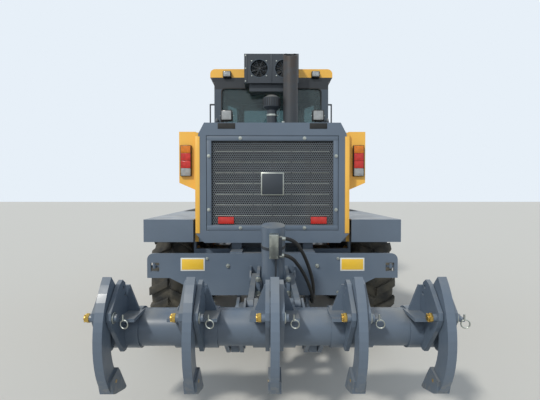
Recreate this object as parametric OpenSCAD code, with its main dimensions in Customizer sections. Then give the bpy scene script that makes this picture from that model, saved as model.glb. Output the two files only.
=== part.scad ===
/* [Wheels] */
// Outside diameter of a tyre over its lugs
tyre_d = 1348; // [1250:1:1400]
// Width of a tyre
tyre_w = 445; // [400:1:460]
// Diameter of the rim at its flange
rim_d = 704; // [660:1:740]
// Height of the tread lugs
lug_h = 34; // [20:1:40]
// Lugs on each half of a tread
lug_count = 20; // [14:1:24]
// Half of the track, from the middle plane to a tyre's middle
track_half = 1090; // [1060:1:1130]
// Half of the distance between the two axles of a tandem
tandem_half = 769; // [740:1:800]
// Distance from the tandem pivot to the front axle
wheelbase = 6480; // [6380:1:6600]

/* [Tandem and rear frame] */
// Thickness of a tandem case
tandem_t = 210; // [180:1:230]
// Height of a tandem case at its middle
tandem_h = 600; // [540:1:640]
// Half width of the rear frame over its rails
frame_half_w = 420; // [380:1:440]
// Underside of the rear frame's rails
frame_z = 830; // [800:1:860]
// Height of the rear frame's rails
frame_h = 260; // [220:1:290]
// Distance from the tandem pivot to the articulation hinge
artic_y = 1980; // [1900:1:2050]

/* [Engine hood] */
// Half width of the hood at its foot
hood_half_w = 780; // [740:1:800]
// Top of the hood above the ground
hood_top_z = 2380; // [2300:1:2420]
// Foot of the hood above the ground
hood_foot_z = 1165; // [1130:1:1190]
// Rear face of the hood behind the tandem pivot
hood_rear = 1580; // [1540:1:1620]
// Width of the radiator grille
grille_w = 1340; // [1240:1:1360]
// Height of the radiator grille
grille_h = 960; // [900:1:1000]
// Thickness of the hood's doors and panels
panel_t = 36; // [24:1:45]

/* [Cab] */
// Half width of the cab
cab_half_w = 800; // [760:1:830]
// Length of the cab
cab_len = 1480; // [1400:1:1520]
// Half width of the cab at its windscreen
cab_nose_half_w = 560; // [500:1:640]
// Underside of the cab floor
cab_floor_z = 1450; // [1430:1:1500]
// Underside of the cab roof
cab_roof_z = 3230; // [3150:1:3280]
// Width of the cab's posts
post_w = 75; // [60:1:95]

/* [Front frame] */
// Width of the front frame's beam
boom_w = 320; // [280:1:360]
// Height of the front frame's beam over the circle
boom_h = 400; // [340:1:440]
// Underside of the beam over the circle
boom_z = 1560; // [1520:1:1620]
// Half width of the front axle between its kingpins
kingpin_half = 800; // [760:1:820]

/* [Blade] */
// Length of the blade
blade_len = 3660; // [3600:1:4300]
// Height of the blade
blade_h = 610; // [560:1:640]
// Ground clearance of the parked blade
blade_clear = 260; // [200:1:320]
// Distance from the articulation hinge to the circle's centre
circle_ahead = 1650; // [1600:1:1700]
// Outside diameter of the circle
circle_d = 1530; // [1450:1:1600]

/* [Ripper] */
// Outside diameter of the ripper's beam tube
beam_d = 260; // [230:1:280]
// Height of the beam tube's axis above the ground
beam_z = 730; // [700:1:760]
// Distance from the tandem pivot back to the beam tube's axis
beam_back = 2800; // [2760:1:2850]
// Spacing of the shanks
shank_pitch = 533; // [500:1:540]
// Thickness of a shank
shank_t = 56; // [50:1:62]
// Thickness of a pocket's side plates
pocket_t = 28; // [22:1:34]
// Width of the rear bumper plate
bumper_w = 2450; // [2300:1:2500]

/* [Hidden] */
$fn = 48;

// Colours of the machine's paint and parts
yellow = "#F2AE1C";
grey = "#4A5462";
dark = "#22262B";
steel = "#B9BCBE";
rubber = "#1E1E1F";

// Radial clearance of a pin in its eye, and side clearance between moving plates
pin_gap = 0.4;
side_gap = 6;

axle_z = tyre_d / 2;
ripper_pin_r = 32;

// The whole machine is moved along Y so that its origin is under the middle of its box
shank_w = 130;
shank_r = 485;
shank_c = [-beam_back + 120, beam_z + 28];
rear_y = shank_c[0] - shank_r - shank_w / 2;
nose_y = wheelbase + tyre_d / 2;
mid_y = (rear_y + nose_y) / 2;
module placed() translate([0, -mid_y, 0]) children();

// A flat shape drawn in Y and Z, thickened from x0 to x1
module across(x0, x1) translate([x0, 0, 0]) rotate([90, 0, 90]) linear_extrude(x1 - x0) children();
// A flat shape drawn in X and Z, thickened from y0 to y1
module along(y0, y1) translate([0, y1, 0]) rotate([90, 0, 0]) linear_extrude(y1 - y0) children();
// A flat shape drawn in X and Y, thickened from z0 to z1
module upright(z0, z1) translate([0, 0, z0]) linear_extrude(z1 - z0) children();
// A block between two corners
module block(a, b) translate(a) cube(b - a);
// A round bar along X at the point p = [y, z]
module bar_x(x0, x1, p, r) translate([x0, p[0], p[1]]) rotate([0, 90, 0]) cylinder(r = r, h = x1 - x0);
// A round bar along Y at the point p = [x, z]
module bar_y(y0, y1, p, r) translate([p[0], y0, p[1]]) rotate([-90, 0, 0]) cylinder(r = r, h = y1 - y0);
// The same on both sides of the machine
module both() {
    children();
    mirror([1, 0, 0]) children();
}
// A flat strap with round ends between two points, ra and rb their radii
module strap(a, b, ra, rb) {
    v = (b - a) / norm(b - a);
    n = [-v[1], v[0]];
    translate(a) circle(ra);
    translate(b) circle(rb);
    polygon([a + n * ra, b + n * rb, b - n * rb, a - n * ra]);
}
module at(p) translate(p) children();

// WHEELS

// A tyre about the X axis: a carcass turned from its section, and two rows of slanting lugs
carcass_r = tyre_d / 2 - lug_h;
bead_r = rim_d / 2 - 14;
module tyre() {
    half = tyre_w / 2;
    section = [
        [bead_r, half - 62], [rim_d / 2 + 46, half - 22], [rim_d / 2 + 130, half],
        [carcass_r - 90, half - 6], [carcass_r - 34, half - 30], [carcass_r, half - 110]
    ];
    ring = concat(section, [for (i = [len(section) - 1:-1:0]) [section[i][0], -section[i][1]]]);
    pitch = 360 / lug_count;
    color(rubber) rotate([0, 90, 0]) union() {
        rotate_extrude() polygon(ring);
        for (i = [0:lug_count - 1]) {
            rotate([0, 0, i * pitch]) lug();
            rotate([0, 0, (i + 0.5) * pitch]) mirror([0, 0, 1]) lug();
        }
    }
}
// One lug, from the middle of the tread out to its shoulder, its corners at the full diameter
lug_w = 92;
lug_sweep = 105;
lug_reach = (lug_w + lug_sweep) / 2;
lug_top = sqrt(pow(tyre_d / 2, 2) - pow(lug_reach, 2));
module lug() {
    half = tyre_w / 2 - 8;
    rotate([0, 90, 0]) rotate([0, 0, 90]) upright(carcass_r - 80, lug_top) polygon([
        [lug_reach - lug_w, 12], [lug_reach, 12], [lug_w - lug_reach, half], [-lug_reach, half]
    ]);
}

// A rim about the X axis, its open dish towards +X, turned from one section with a hub
rim_half = 192;
hub_r = 165;
spindle_r = 60;
module rim() {
    flange_r = rim_d / 2;
    seat_r = bead_r - 0.3;
    well_r = seat_r - 6;
    disc_x = 20;
    color(yellow) rotate([0, 90, 0]) difference() {
        rotate_extrude() polygon([
            [spindle_r + pin_gap, -110], [hub_r, -110], [hub_r, disc_x - 26], [well_r - 60, disc_x - 26],
            [well_r - 22, -rim_half + 30], [well_r - 6, -rim_half], [flange_r, -rim_half],
            [flange_r, -rim_half + 16], [seat_r, -rim_half + 24], [seat_r, rim_half - 24],
            [flange_r, rim_half - 16], [flange_r, rim_half], [well_r - 6, rim_half],
            [well_r - 22, rim_half - 30], [well_r - 52, disc_x], [hub_r, disc_x], [hub_r - 40, disc_x + 70],
            [0, disc_x + 70], [0, 12], [spindle_r + pin_gap, 12]
        ]);
        for (i = [0:4]) rotate([0, 0, i * 72]) translate([hub_r + 62, 0, 0]) cylinder(r = 22, h = 60);
    }
}

module wheel_place(side, y) at([side * track_half, y - mid_y, axle_z]) mirror([side < 0 ? 1 : 0, 0, 0]) children();
module tyre_rear_left() wheel_place(-1, -tandem_half) tyre();
module tyre_rear_right() wheel_place(1, -tandem_half) tyre();
module tyre_mid_left() wheel_place(-1, tandem_half) tyre();
module tyre_mid_right() wheel_place(1, tandem_half) tyre();
module tyre_front_left() wheel_place(-1, wheelbase) tyre();
module tyre_front_right() wheel_place(1, wheelbase) tyre();
module rim_rear_left() wheel_place(-1, -tandem_half) rim();
module rim_rear_right() wheel_place(1, -tandem_half) rim();
module rim_mid_left() wheel_place(-1, tandem_half) rim();
module rim_mid_right() wheel_place(1, tandem_half) rim();
module rim_front_left() wheel_place(-1, wheelbase) rim();
module rim_front_right() wheel_place(1, wheelbase) rim();

// REAR RUNNING GEAR

// Tandem cases: a deep box on each side, with a wheel spindle at each end
tandem_in = 560;
tandem_out = tandem_in + tandem_t;
module tandem_cases() color(grey) placed() both() union() {
    across(tandem_in, tandem_out) tandem_outline();
    for (y = [-tandem_half, tandem_half]) {
        bar_x(tandem_out, tandem_out + 40, [y, axle_z], 190);
        bar_x(tandem_out, track_half + 8, [y, axle_z], spindle_r);
    }
    bar_x(tandem_out, tandem_out + 22, [0, axle_z], 215);
}
// Side outline of a tandem case
module tandem_outline() {
    h = tandem_h / 2;
    e = 215;
    polygon([
        [-tandem_half, axle_z - e], [-300, axle_z - h + 40], [300, axle_z - h + 40],
        [tandem_half, axle_z - e], [tandem_half, axle_z + e], [300, axle_z + h], [-300, axle_z + h],
        [-tandem_half, axle_z + e]
    ]);
    for (y = [-tandem_half, tandem_half]) translate([y, axle_z]) circle(e);
}

// Rear axle housing: a round final drive between the tandems, hung on the rear frame
module axle_housing() color(grey) placed() union() {
    bar_x(-tandem_in, tandem_in, [0, axle_z], 150);
    rotate([0, 90, 0]) at([-axle_z, 0, -230]) cylinder(r = 240, h = 460);
    both() across(frame_half_w - 110, frame_half_w - 10) polygon([
        [-220, frame_z], [220, frame_z], [150, axle_z], [-150, axle_z]
    ]);
}

// Rear frame: two deep rails with cross members, the hinge lugs in front and the ripper's
// lower lugs behind
frame_rear = 1700;
hinge_r = 70;
hinge_lug_z = [[900, 960], [1205, 1265]];
module rear_frame() color(grey) placed() difference() {
    union() {
        both() block([frame_half_w - 120, -frame_rear, frame_z], [frame_half_w, artic_y - 500, frame_z + frame_h]);
        for (y = [-frame_rear, -900, artic_y - 640])
            block([-frame_half_w, y, frame_z + 20], [frame_half_w, y + 140, frame_z + frame_h - 20]);
        for (z = hinge_lug_z) {
            upright(z[0], z[1]) polygon([
                [-frame_half_w, artic_y - 510], [frame_half_w, artic_y - 510], [150, artic_y], [-150, artic_y]
            ]);
            at([0, artic_y, z[0]]) cylinder(r = 150, h = z[1] - z[0]);
        }
        both() block([frame_half_w - 120, artic_y - 640, frame_z], [frame_half_w, artic_y - 500, cab_floor_z - 185]);
        // Lugs that hold the ripper's lower links
        for (x = lower_lug_x) both() across(x[0], x[1]) union() {
            strap(link_low_f, [-frame_rear + 140, link_low_f[1] + 50], 58, 70);
            polygon([
                [-frame_rear + 6, frame_z + 60], [-frame_rear + 6, link_low_f[1]], [-frame_rear + 260, link_low_f[1] + 40],
                [-frame_rear + 420, frame_z + 60]
            ]);
        }
        // Junction block of the ripper's hoses, under the right rail
        block(junction, junction + [50, 60, frame_z + 10 - junction[2]]);
        // Stand-offs that carry the hood and the cab
        for (y = [-1480, -160, 90, 1150]) both()
            block([frame_half_w - 100, y, frame_z + frame_h], [frame_half_w, y + 100, y < 0 ? hood_foot_z : cab_floor_z - 180]);
    }
    at([0, artic_y, 0]) cylinder(r = hinge_r, h = 2000);
    // Room for the turning blade's ends
    block([-frame_half_w - 10, artic_y - 590, frame_z - 10], [frame_half_w + 10, artic_y, blade_clear + 632]);
    for (x = [-1, 1]) bar_x(x > 0 ? 150 : -400, x > 0 ? 400 : -150, link_low_f, ripper_pin_r);
}

// ENGINE, HOOD AND REAR LIGHTS

module engine_block() color(dark) placed() union() {
    block([-299, -1150, frame_z + frame_h - 20], [299, -200, 1950]);
    block([-410, -1370, frame_z + frame_h], [410, -1250, 2200]);
}

hood_shoulder_z = 2265;
hood_shoulder_w = 750;
hood_crown_w = 690;
hood_front = -120;
// Cross-section of the hood's top cover
module hood_cap(wall) polygon([
    [-hood_shoulder_w + wall, hood_shoulder_z - 60], [-hood_shoulder_w + wall, hood_shoulder_z],
    [-hood_crown_w + wall * 0.6, hood_top_z - wall], [hood_crown_w - wall * 0.6, hood_top_z - wall],
    [hood_shoulder_w - wall, hood_shoulder_z], [hood_shoulder_w - wall, hood_shoulder_z - 60]
]);
// Full outline of the hood seen from behind
foot_cut = 90;
module hood_outline() polygon([
    [-hood_half_w + foot_cut, hood_foot_z], [-hood_half_w + 4, hood_foot_z + foot_cut], [-hood_shoulder_w, hood_shoulder_z],
    [-hood_crown_w, hood_top_z], [hood_crown_w, hood_top_z], [hood_shoulder_w, hood_shoulder_z],
    [hood_half_w - 4, hood_foot_z + foot_cut], [hood_half_w - foot_cut, hood_foot_z]
]);
grille_z = hood_foot_z + 125;
module engine_hood() color(grey) placed() union() {
    // Top cover
    along(-hood_rear + 60, hood_front) difference() {
        hood_cap(0);
        hood_cap(panel_t);
        square([2 * (hood_shoulder_w - panel_t), 2 * (hood_shoulder_z - 20)], center = true);
    }
    // Rear frame round the grille
    along(-hood_rear, -hood_rear + 100) difference() {
        hood_outline();
        translate([-grille_w / 2, grille_z]) square([grille_w, grille_h]);
    }
    // Front bulkhead
    along(hood_front, hood_front + 30) difference() {
        hood_outline();
        translate([0, 1650]) square([700, 500], center = true);
    }
    // Sills below the doors
    both() block([hood_half_w - 90, -hood_rear + 100, hood_foot_z], [panel_x - panel_t, hood_front, hood_foot_z + 60]);
}

// Radiator grille: a frame with a lattice of openings between its crossing bars
grille_rows = 8;
grille_columns = 20;
grille_bar = 14;
module rear_grille() color(dark) placed() along(-hood_rear + 8, -hood_rear + 48) {
    rim_w = 34;
    cell_w = (grille_w - 2 * rim_w) / grille_columns;
    cell_h = (grille_h - 2 * rim_w) / grille_rows;
    difference() {
        translate([-grille_w / 2, grille_z]) square([grille_w, grille_h]);
        for (i = [0:grille_columns - 1]) for (j = [0:grille_rows - 1])
            translate([-grille_w / 2 + rim_w + i * cell_w + grille_bar / 2, grille_z + rim_w + j * cell_h + grille_bar / 2])
                square([cell_w - grille_bar, cell_h - grille_bar]);
    }
}

// Yellow side panels: a low panel under the door, a corner strip and a lamp pod on each side
pod_z = [1700, 2310];
pod_out = 975;
pod_front = -1010;
pod_rear = -1430;
seam_z = 1480;
panel_x = 800;
door_gap = 5;
module side_panels() color(yellow) placed() both() union() {
    at([panel_x + 6, hood_front - 4, seam_z - 70]) cylinder(r = 10, h = 70 - 0.3);
    block([panel_x - panel_t, -hood_rear + 100, hood_foot_z], [panel_x, hood_front, seam_z - door_gap]);
    block([panel_x - panel_t, -hood_rear + 100, hood_foot_z], [panel_x, pod_front, hood_shoulder_z + 30]);
    difference() {
        upright(pod_z[0], pod_z[1]) polygon([
            [panel_x, pod_rear], [pod_out, pod_rear], [pod_out, pod_rear + 180], [panel_x, pod_front]
        ]);
        // The foot slants up towards the outside
        along(-hood_rear, pod_front) polygon([
            [panel_x - 10, pod_z[0]], [panel_x, pod_z[0]], [pod_out + 10, pod_z[0] + 80], [pod_out + 10, pod_z[0] - 10],
            [panel_x - 10, pod_z[0] - 10]
        ]);
    }
}

lamp_w = 120;
lamp_h = 330;
lamp_x = 900;
lamp_z = 1840;
// Tail lamps on the pods, work lamps on the hood's rear edge and under the roof's rear edge
module lamps() color("#8E2A20") placed() both() {
    block([lamp_x - lamp_w / 2, pod_rear - 40, lamp_z], [lamp_x + lamp_w / 2, pod_rear, lamp_z + lamp_h]);
    union() {
        block([448, -hood_rear + 20, hood_top_z], [480, -hood_rear + 60, hood_top_z + 40]);
        block([410, -hood_rear - 10, hood_top_z + 30], [518, -hood_rear + 60, hood_top_z + 128]);
    }
    block([570, -50, cab_roof_z + 60], [670, 20, cab_roof_z + 140]);
}

// Fenders: a flat sheet over both wheels of a side, turned down at its ends
fender_z = 1400;
fender_t = 8;
fender_in = 806;
fender_out = 1312;
fender_rear = -1560;
fender_front = 1540;
module fenders() color(grey) placed() both() union() {
    block([fender_in, fender_rear, fender_z - fender_t], [fender_out, fender_front, fender_z]);
    block([fender_in, fender_rear, fender_z - 230], [fender_out, fender_rear + fender_t, fender_z]);
    block([fender_in, fender_front - fender_t, fender_z - 160], [fender_out, fender_front, fender_z]);
    // Brackets out from the rear frame, under the hood and the cab
    for (y = [-1400, -60, 1300]) {
        block([frame_half_w, y, frame_z + frame_h - 70], [fender_in + 24, y + 60, frame_z + frame_h - 10]);
        block([fender_in, y, frame_z + frame_h - 10], [fender_in + 24, y + 60, fender_z - fender_t]);
    }
}

// REAR BUMPER AND RIPPER LINKAGE

// Pivots of the ripper's parallel links, as [y, z]: f on the frame, c on the beam
link_low_f = [-1800, 560];
link_up_f = [-1800, 850];
link_v = [-840, -20];
link_low_c = link_low_f + link_v;
link_up_c = link_up_f + link_v;
// Cylinder: its trunnions on the frame and the rod's eye on the lower link
trunnion = [-2160, 880];
rod_eye = [-2085, 500];
// Side positions of the lug plates, as [inner, outer]
lower_lug_x = [[222, 250], [322, 350]];
upper_lug_x = [[118, 146], [204, 222 - 2]];
lower_arm_x = [250 + side_gap, 322 - side_gap];
upper_arm_x = [146 + side_gap, 204 - side_gap];
barrel_r = 100;

bumper_y = [-1730, -1700];
bumper_top = 1080;
module bumper_plate() color(grey) placed() union() {
    along(bumper_y[0], bumper_y[1]) difference() {
        bumper_outline();
        both() translate([bumper_w / 2 - 118, 905]) square([84, 84]);
    }
    both() for (x = upper_lug_x) difference() {
        across(x[0], x[1]) union() {
            translate([bumper_y[0] - 60, 740]) square([60, 220]);
            strap(link_up_f, link_up_f + [60, 0], 62, 90);
            if (x[0] < 150) strap(trunnion, link_up_f + [60, 20], 70, 90);
        }
        bar_x(0, 400, link_up_f, ripper_pin_r);
        bar_x(0, 400, trunnion, trunnion_r + pin_gap);
        block([0, bumper_y[1] - 10, 600], [400, bumper_y[1] + 200, 1100]);
    }
}
module bumper_outline() {
    half = bumper_w / 2;
    corner = 60;
    polygon([
        [-half, 840], [-half, bumper_top - corner], [-half + corner, bumper_top], [half - corner, bumper_top],
        [half, bumper_top - corner], [half, 840], [half - 220, 840], [half - 560, 670], [-half + 560, 670],
        [-half + 220, 840]
    ]);
    both() translate([half - corner, bumper_top - corner]) circle(corner);
}

trunnion_r = 36;
// Lower link: two arms with a cross tube, and two lugs for the cylinder's eye
cross_tube = [-2275, 545];
module ripper_lower_link() color(grey) placed() union() {
    both() across(lower_arm_x[0], lower_arm_x[1]) union() {
        strap(link_low_f, cross_tube, 56, 95);
        strap(cross_tube, link_low_c, 95, 56);
    }
    bar_x(-lower_arm_x[0] - 5, lower_arm_x[0] + 5, cross_tube, 62);
    both() across(62, 88) strap(cross_tube, rod_eye, 70, 52);
    for (p = [link_low_f, link_low_c]) both()
        bar_x(lower_lug_x[0][0] - 10, lower_lug_x[1][1] + 10, p, ripper_pin_r - pin_gap);
}
// Upper links: one arm on each side of the cylinder, with its pins
module ripper_upper_links() color(grey) placed() both() union() {
    across(upper_arm_x[0], upper_arm_x[1]) strap(link_up_f, link_up_c, 50, 50);
    bar_x(upper_lug_x[0][0], upper_lug_x[1][1], link_up_f, ripper_pin_r - pin_gap);
    bar_x(upper_lug_x[0][0], upper_lug_x[1][1], link_up_c, ripper_pin_r - pin_gap);
}

// Ripper beam: a thick tube with the link lugs in front and five shank pockets behind
beam = [-beam_back, beam_z];
shank_x = [for (i = [-2:2]) i * shank_pitch];
pocket_gap = shank_t + 8;
beam_half = 2 * shank_pitch + pocket_gap / 2 + pocket_t;
module ripper_beam() color(grey) placed() difference() {
    union() {
        bar_x(-beam_half, beam_half, beam, beam_d / 2);
        for (x = shank_x) {
            for (s = [-1, 1]) at([x + s * (pocket_gap + pocket_t) / 2, 0, 0]) across(-pocket_t / 2, pocket_t / 2) pocket_plate();
            bar_x(x - pocket_gap / 2 - 4, x + pocket_gap / 2 + 4, stop_bar, stop_bar_r);
            // Saddle wrapped on the tube, with a gusset and a rib up each plate
            bar_x(x - saddle_half, x + saddle_half, beam, beam_d / 2 + 12);
            for (s = [0, 1]) at([x, 0, 0]) mirror([s, 0, 0]) {
                along(beam[0] - 70, beam[0] - 46) gusset();
                block([pocket_gap / 2 + 6, beam[0] - 250, beam[1] + 112], [pocket_gap / 2 + 130, beam[0] - 20, beam[1] + 134]);
            }
        }
        both() for (x = lower_lug_x) across(x[0], x[1]) strap(link_low_c, beam + [0, -40], 58, 90);
        both() for (x = upper_lug_x) across(x[0], x[1]) strap(link_up_c, beam + [0, 30], 56, 100);
    }
    both() bar_x(200, 400, link_low_c, ripper_pin_r);
    both() bar_x(100, 230, link_up_c, ripper_pin_r);
    bar_x(-beam_half - 10, beam_half + 10, shank_pin, shank_pin_r + pin_gap);
}
// A shank's middle line is an arc; its pin and its stop bar lie at these angles on it
shank_pin = shank_c + (shank_r - 15) * [cos(163), sin(163)];
shank_pin_r = 24;
stop_bar_r = 22;
stop_bar = shank_c + (shank_r - shank_w / 2 - stop_bar_r - 0.3) * [cos(141), sin(141)];
saddle_half = 146;
// Gusset beside a plate, its outer edge hollowed, drawn in X and Z
module gusset() difference() {
    polygon([
        [pocket_gap / 2 + 6, beam[1] + 90], [saddle_half - 12, beam[1] + 90], [saddle_half - 12, beam[1] + 140],
        [pocket_gap / 2 + pocket_t + 8, beam[1] + 310], [pocket_gap / 2 + 6, beam[1] + 310]
    ]);
    translate([saddle_half + 124, beam[1] + 330]) circle(185);
}
module pocket_plate() difference() {
    polygon([
        beam + [60, 110], beam + [-40, 170], beam + [-95, 250], beam + [-120, 340], beam + [-165, 368],
        beam + [-215, 350], beam + [-368, 205], beam + [-372, 160], beam + [-345, 110], beam + [-150, -118],
        beam + [-112, -122], beam + [-40, -90]
    ]);
    for (p = [[-150, 315], [-118, 262]]) translate(beam + p) circle(13);
}
// The part of a ring between two angles, seen along X
module arc_band(c, r0, r1, a0, a1) {
    steps = 14;
    polygon(concat(
        [for (i = [0:steps]) c + r1 * [cos(a0 + (a1 - a0) * i / steps), sin(a0 + (a1 - a0) * i / steps)]],
        [for (i = [steps:-1:0]) c + r0 * [cos(a0 + (a1 - a0) * i / steps), sin(a0 + (a1 - a0) * i / steps)]]
    ));
}

// Five shanks with their teeth, each held by a pin through its pocket
shank_top_deg = 136;
shank_low_deg = 219;
module ripper_shanks() color(grey) placed() for (x = shank_x) difference() {
    union() {
        across(x - shank_t / 2, x + shank_t / 2)
            arc_band(shank_c, shank_r - shank_w / 2, shank_r + shank_w / 2, shank_top_deg, shank_low_deg);
        across(x - shank_t / 2 - 14, x + shank_t / 2 + 14) polygon([
            beam + [-300, -330], beam + [-330, -240], beam + [-205, -200], beam + [-175, -235], beam + [-60, -395],
            beam + [-90, -398], beam + [-260, -350]
        ]);
        bar_x(x - pocket_gap / 2 - pocket_t - 26, x + pocket_gap / 2 + pocket_t + 26, shank_pin, shank_pin_r);
    }
}

// Lift cylinder of the ripper: a barrel in its trunnions, and a rod down to the lower link
cyl_dir = (rod_eye - trunnion) / norm(rod_eye - trunnion);
cyl_lean = atan2(cyl_dir[0], -cyl_dir[1]);
barrel_up = 530;
barrel_down = 190;
ripper_rod_r = 42;
ripper_bore_r = 80;
module on_cylinder() at([0, trunnion[0], trunnion[1]]) rotate([cyl_lean, 0, 0]) children();
module ripper_barrel() color(grey) placed() on_cylinder() union() {
    difference() {
        union() {
            at([0, 0, -barrel_down]) cylinder(r = barrel_r, h = barrel_up + barrel_down);
            at([0, 0, -barrel_down + 60]) cylinder(r = barrel_r + 8, h = 40);
            rotate([0, 90, 0]) at([0, 0, -146]) cylinder(r = trunnion_r, h = 292);
        }
        at([0, 0, -barrel_down + 60]) cylinder(r = ripper_bore_r, h = barrel_up + barrel_down - 90);
        at([0, 0, -barrel_down - 1]) cylinder(r = ripper_rod_r + pin_gap, h = 100);
    }
    // Valve block on the barrel's rear side
    block([-32, -barrel_r - 52, barrel_up - 240], [40, -barrel_r + 22, barrel_up - 40]);
}
module ripper_rod() color(steel) placed() on_cylinder() union() {
    eye = -norm(rod_eye - trunnion);
    at([0, 0, eye + 30]) cylinder(r = ripper_rod_r, h = 560);
    rotate([0, 90, 0]) at([-eye, 0, -48]) cylinder(r = 58, h = 96);
    rotate([0, 90, 0]) at([-eye, 0, -56]) cylinder(r = 30, h = 112);
    at([0, 0, eye + 540]) cylinder(r = ripper_bore_r - pin_gap, h = 50);
}

// Two hoses from the valve block down past the bumper to the junction block, each a swept tube
hose_r = 15;
junction = [362, -1640, 590];
hose_upper = [
    [60, -2370, 1300], [115, -2370, 1298], [180, -2350, 1265], [235, -2295, 1190], [280, -2220, 1100],
    [320, -2130, 1000], [352, -2035, 900], [375, -1940, 800], [385, -1850, 710], [387, -1760, 655], [387, -1641.5, 640]
];
hose_lower = [
    [60, -2350, 1160], [100, -2350, 1158], [155, -2330, 1130], [205, -2270, 1070], [255, -2190, 990],
    [300, -2100, 900], [340, -2010, 800], [368, -1920, 710], [383, -1830, 640], [387, -1740, 606], [387, -1641.5, 602]
];
function unit(v) = v / norm(v);
function side_of(d) = unit(cross(d, abs(d[2]) > 0.95 ? [0, 1, 0] : [0, 0, 1]));
module swept(points, r, sides = 8) {
    n = len(points);
    dirs = [for (i = [0:n - 1]) unit(points[min(i + 1, n - 1)] - points[max(i - 1, 0)])];
    rings = [for (i = [0:n - 1]) let (u = side_of(dirs[i]), w = cross(dirs[i], u))
        for (k = [0:sides - 1]) points[i] + r * (u * cos(360 * k / sides) + w * sin(360 * k / sides))];
    faces = concat(
        [[for (k = [0:sides - 1]) k]],
        [[for (k = [sides - 1:-1:0]) (n - 1) * sides + k]],
        [for (i = [0:n - 2]) for (k = [0:sides - 1])
            [i * sides + k, (i + 1) * sides + k, (i + 1) * sides + (k + 1) % sides, i * sides + (k + 1) % sides]]
    );
    polyhedron(rings, faces);
}
module ripper_hoses() color(dark) placed() {
    swept(hose_upper, hose_r);
    swept(hose_lower, hose_r);
}

// EXHAUST AND AIR INTAKE

stack_x = 230;
stack_y = -700;
module exhaust_stack() color(dark) placed() at([stack_x, stack_y, 0]) difference() {
    union() {
        at([0, 0, hood_top_z]) cylinder(r1 = 122, r2 = 92, h = 90);
        at([0, 0, hood_top_z + 90]) cylinder(r = 90, h = 930);
    }
    at([0, 0, hood_top_z + 200]) cylinder(r = 80, h = 1000);
    at([0, 0, hood_top_z + 1020]) rotate([28, 0, 0]) translate([-200, -300, -30]) cube([400, 600, 300]);
}
cleaner_x = 0;
cleaner_y = -700;
module air_precleaner() color(dark) placed() at([cleaner_x, cleaner_y, 0]) union() {
    at([-85, -70, hood_top_z]) cube([170, 140, 120]);
    at([0, 0, hood_top_z + 120]) cylinder(r = 62, h = 190);
    at([0, 0, hood_top_z + 300]) cylinder(r1 = 62, r2 = 105, h = 40);
    at([0, 0, hood_top_z + 340]) cylinder(r = 105, h = 110);
    at([0, 0, hood_top_z + 450]) cylinder(r1 = 105, r2 = 60, h = 30);
}

// CAB

cab_y0 = 0;
door_y = [330, 980];
side_end = 1000;
wall_t = 60;
// Plan of the cab, drawn in by a wall
module cab_plan(w) polygon([
    [-cab_half_w + w, cab_y0 + w], [cab_half_w - w, cab_y0 + w], [cab_half_w - w, side_end],
    [cab_nose_half_w - w * 0.6, cab_len - w], [-cab_nose_half_w + w * 0.6, cab_len - w], [-cab_half_w + w, side_end]
]);
module cab_base() color(yellow) placed() union() {
    upright(cab_floor_z, cab_floor_z + 60) cab_plan(0);
    upright(cab_floor_z - 180, cab_floor_z) difference() {
        cab_plan(0);
        cab_plan(50);
    }
    block([-frame_half_w, 80, cab_floor_z - 180], [frame_half_w, 300, cab_floor_z]);
    block([-frame_half_w, 1100, cab_floor_z - 180], [frame_half_w, 1300, cab_floor_z]);
}
// Cab frame: walls cut by the windows and the two doorways, with a hinge knuckle behind each door
cab_hinge = [cab_half_w + 12, door_y[0]];
hinge_z = [cab_floor_z + 200, cab_floor_z + 1300];
module cab_frame() color(dark) placed() union() {
    cab_walls();
    both() for (z = hinge_z) {
        block([cab_half_w, door_y[0] - 40, z], [cab_half_w + 12, door_y[0], z + 60]);
        at([cab_hinge[0], cab_hinge[1], z]) cylinder(r = 10, h = 60);
    }
}
module cab_walls() difference() {
    upright(cab_floor_z + 60, cab_roof_z) difference() {
        cab_plan(0);
        cab_plan(wall_t);
    }
    window_cuts();
    // Doorways
    block([-cab_half_w - 50, door_y[0], cab_floor_z + 90], [cab_half_w + 50, door_y[1], cab_roof_z - 60]);
}
sill_z = cab_floor_z + 420;
head_z = cab_roof_z - 90;
nose_run = [cab_nose_half_w - cab_half_w, cab_len - side_end];
nose_deg = atan2(nose_run[1], nose_run[0]);
module window_cuts() {
    // Rear and front panes
    along(-10, wall_t + 10) pane_2d(-cab_half_w + post_w + 20, cab_half_w - post_w - 20, sill_z + 300, head_z, 60);
    along(cab_len - wall_t - 10, cab_len + 10)
        pane_2d(-cab_nose_half_w + post_w, cab_nose_half_w - post_w, cab_floor_z + 160, head_z, 60);
    // Rear quarter windows
    across(-cab_half_w - 10, cab_half_w + 10) pane_2d(post_w + 10, door_y[0] - post_w, sill_z, head_z, 40);
    // Slanting front corner windows
    both() at([cab_half_w, side_end, 0]) rotate([0, 0, nose_deg])
        along(-40, 100) pane_2d(post_w, norm(nose_run) - post_w, cab_floor_z + 160, head_z, 50);
}
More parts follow.
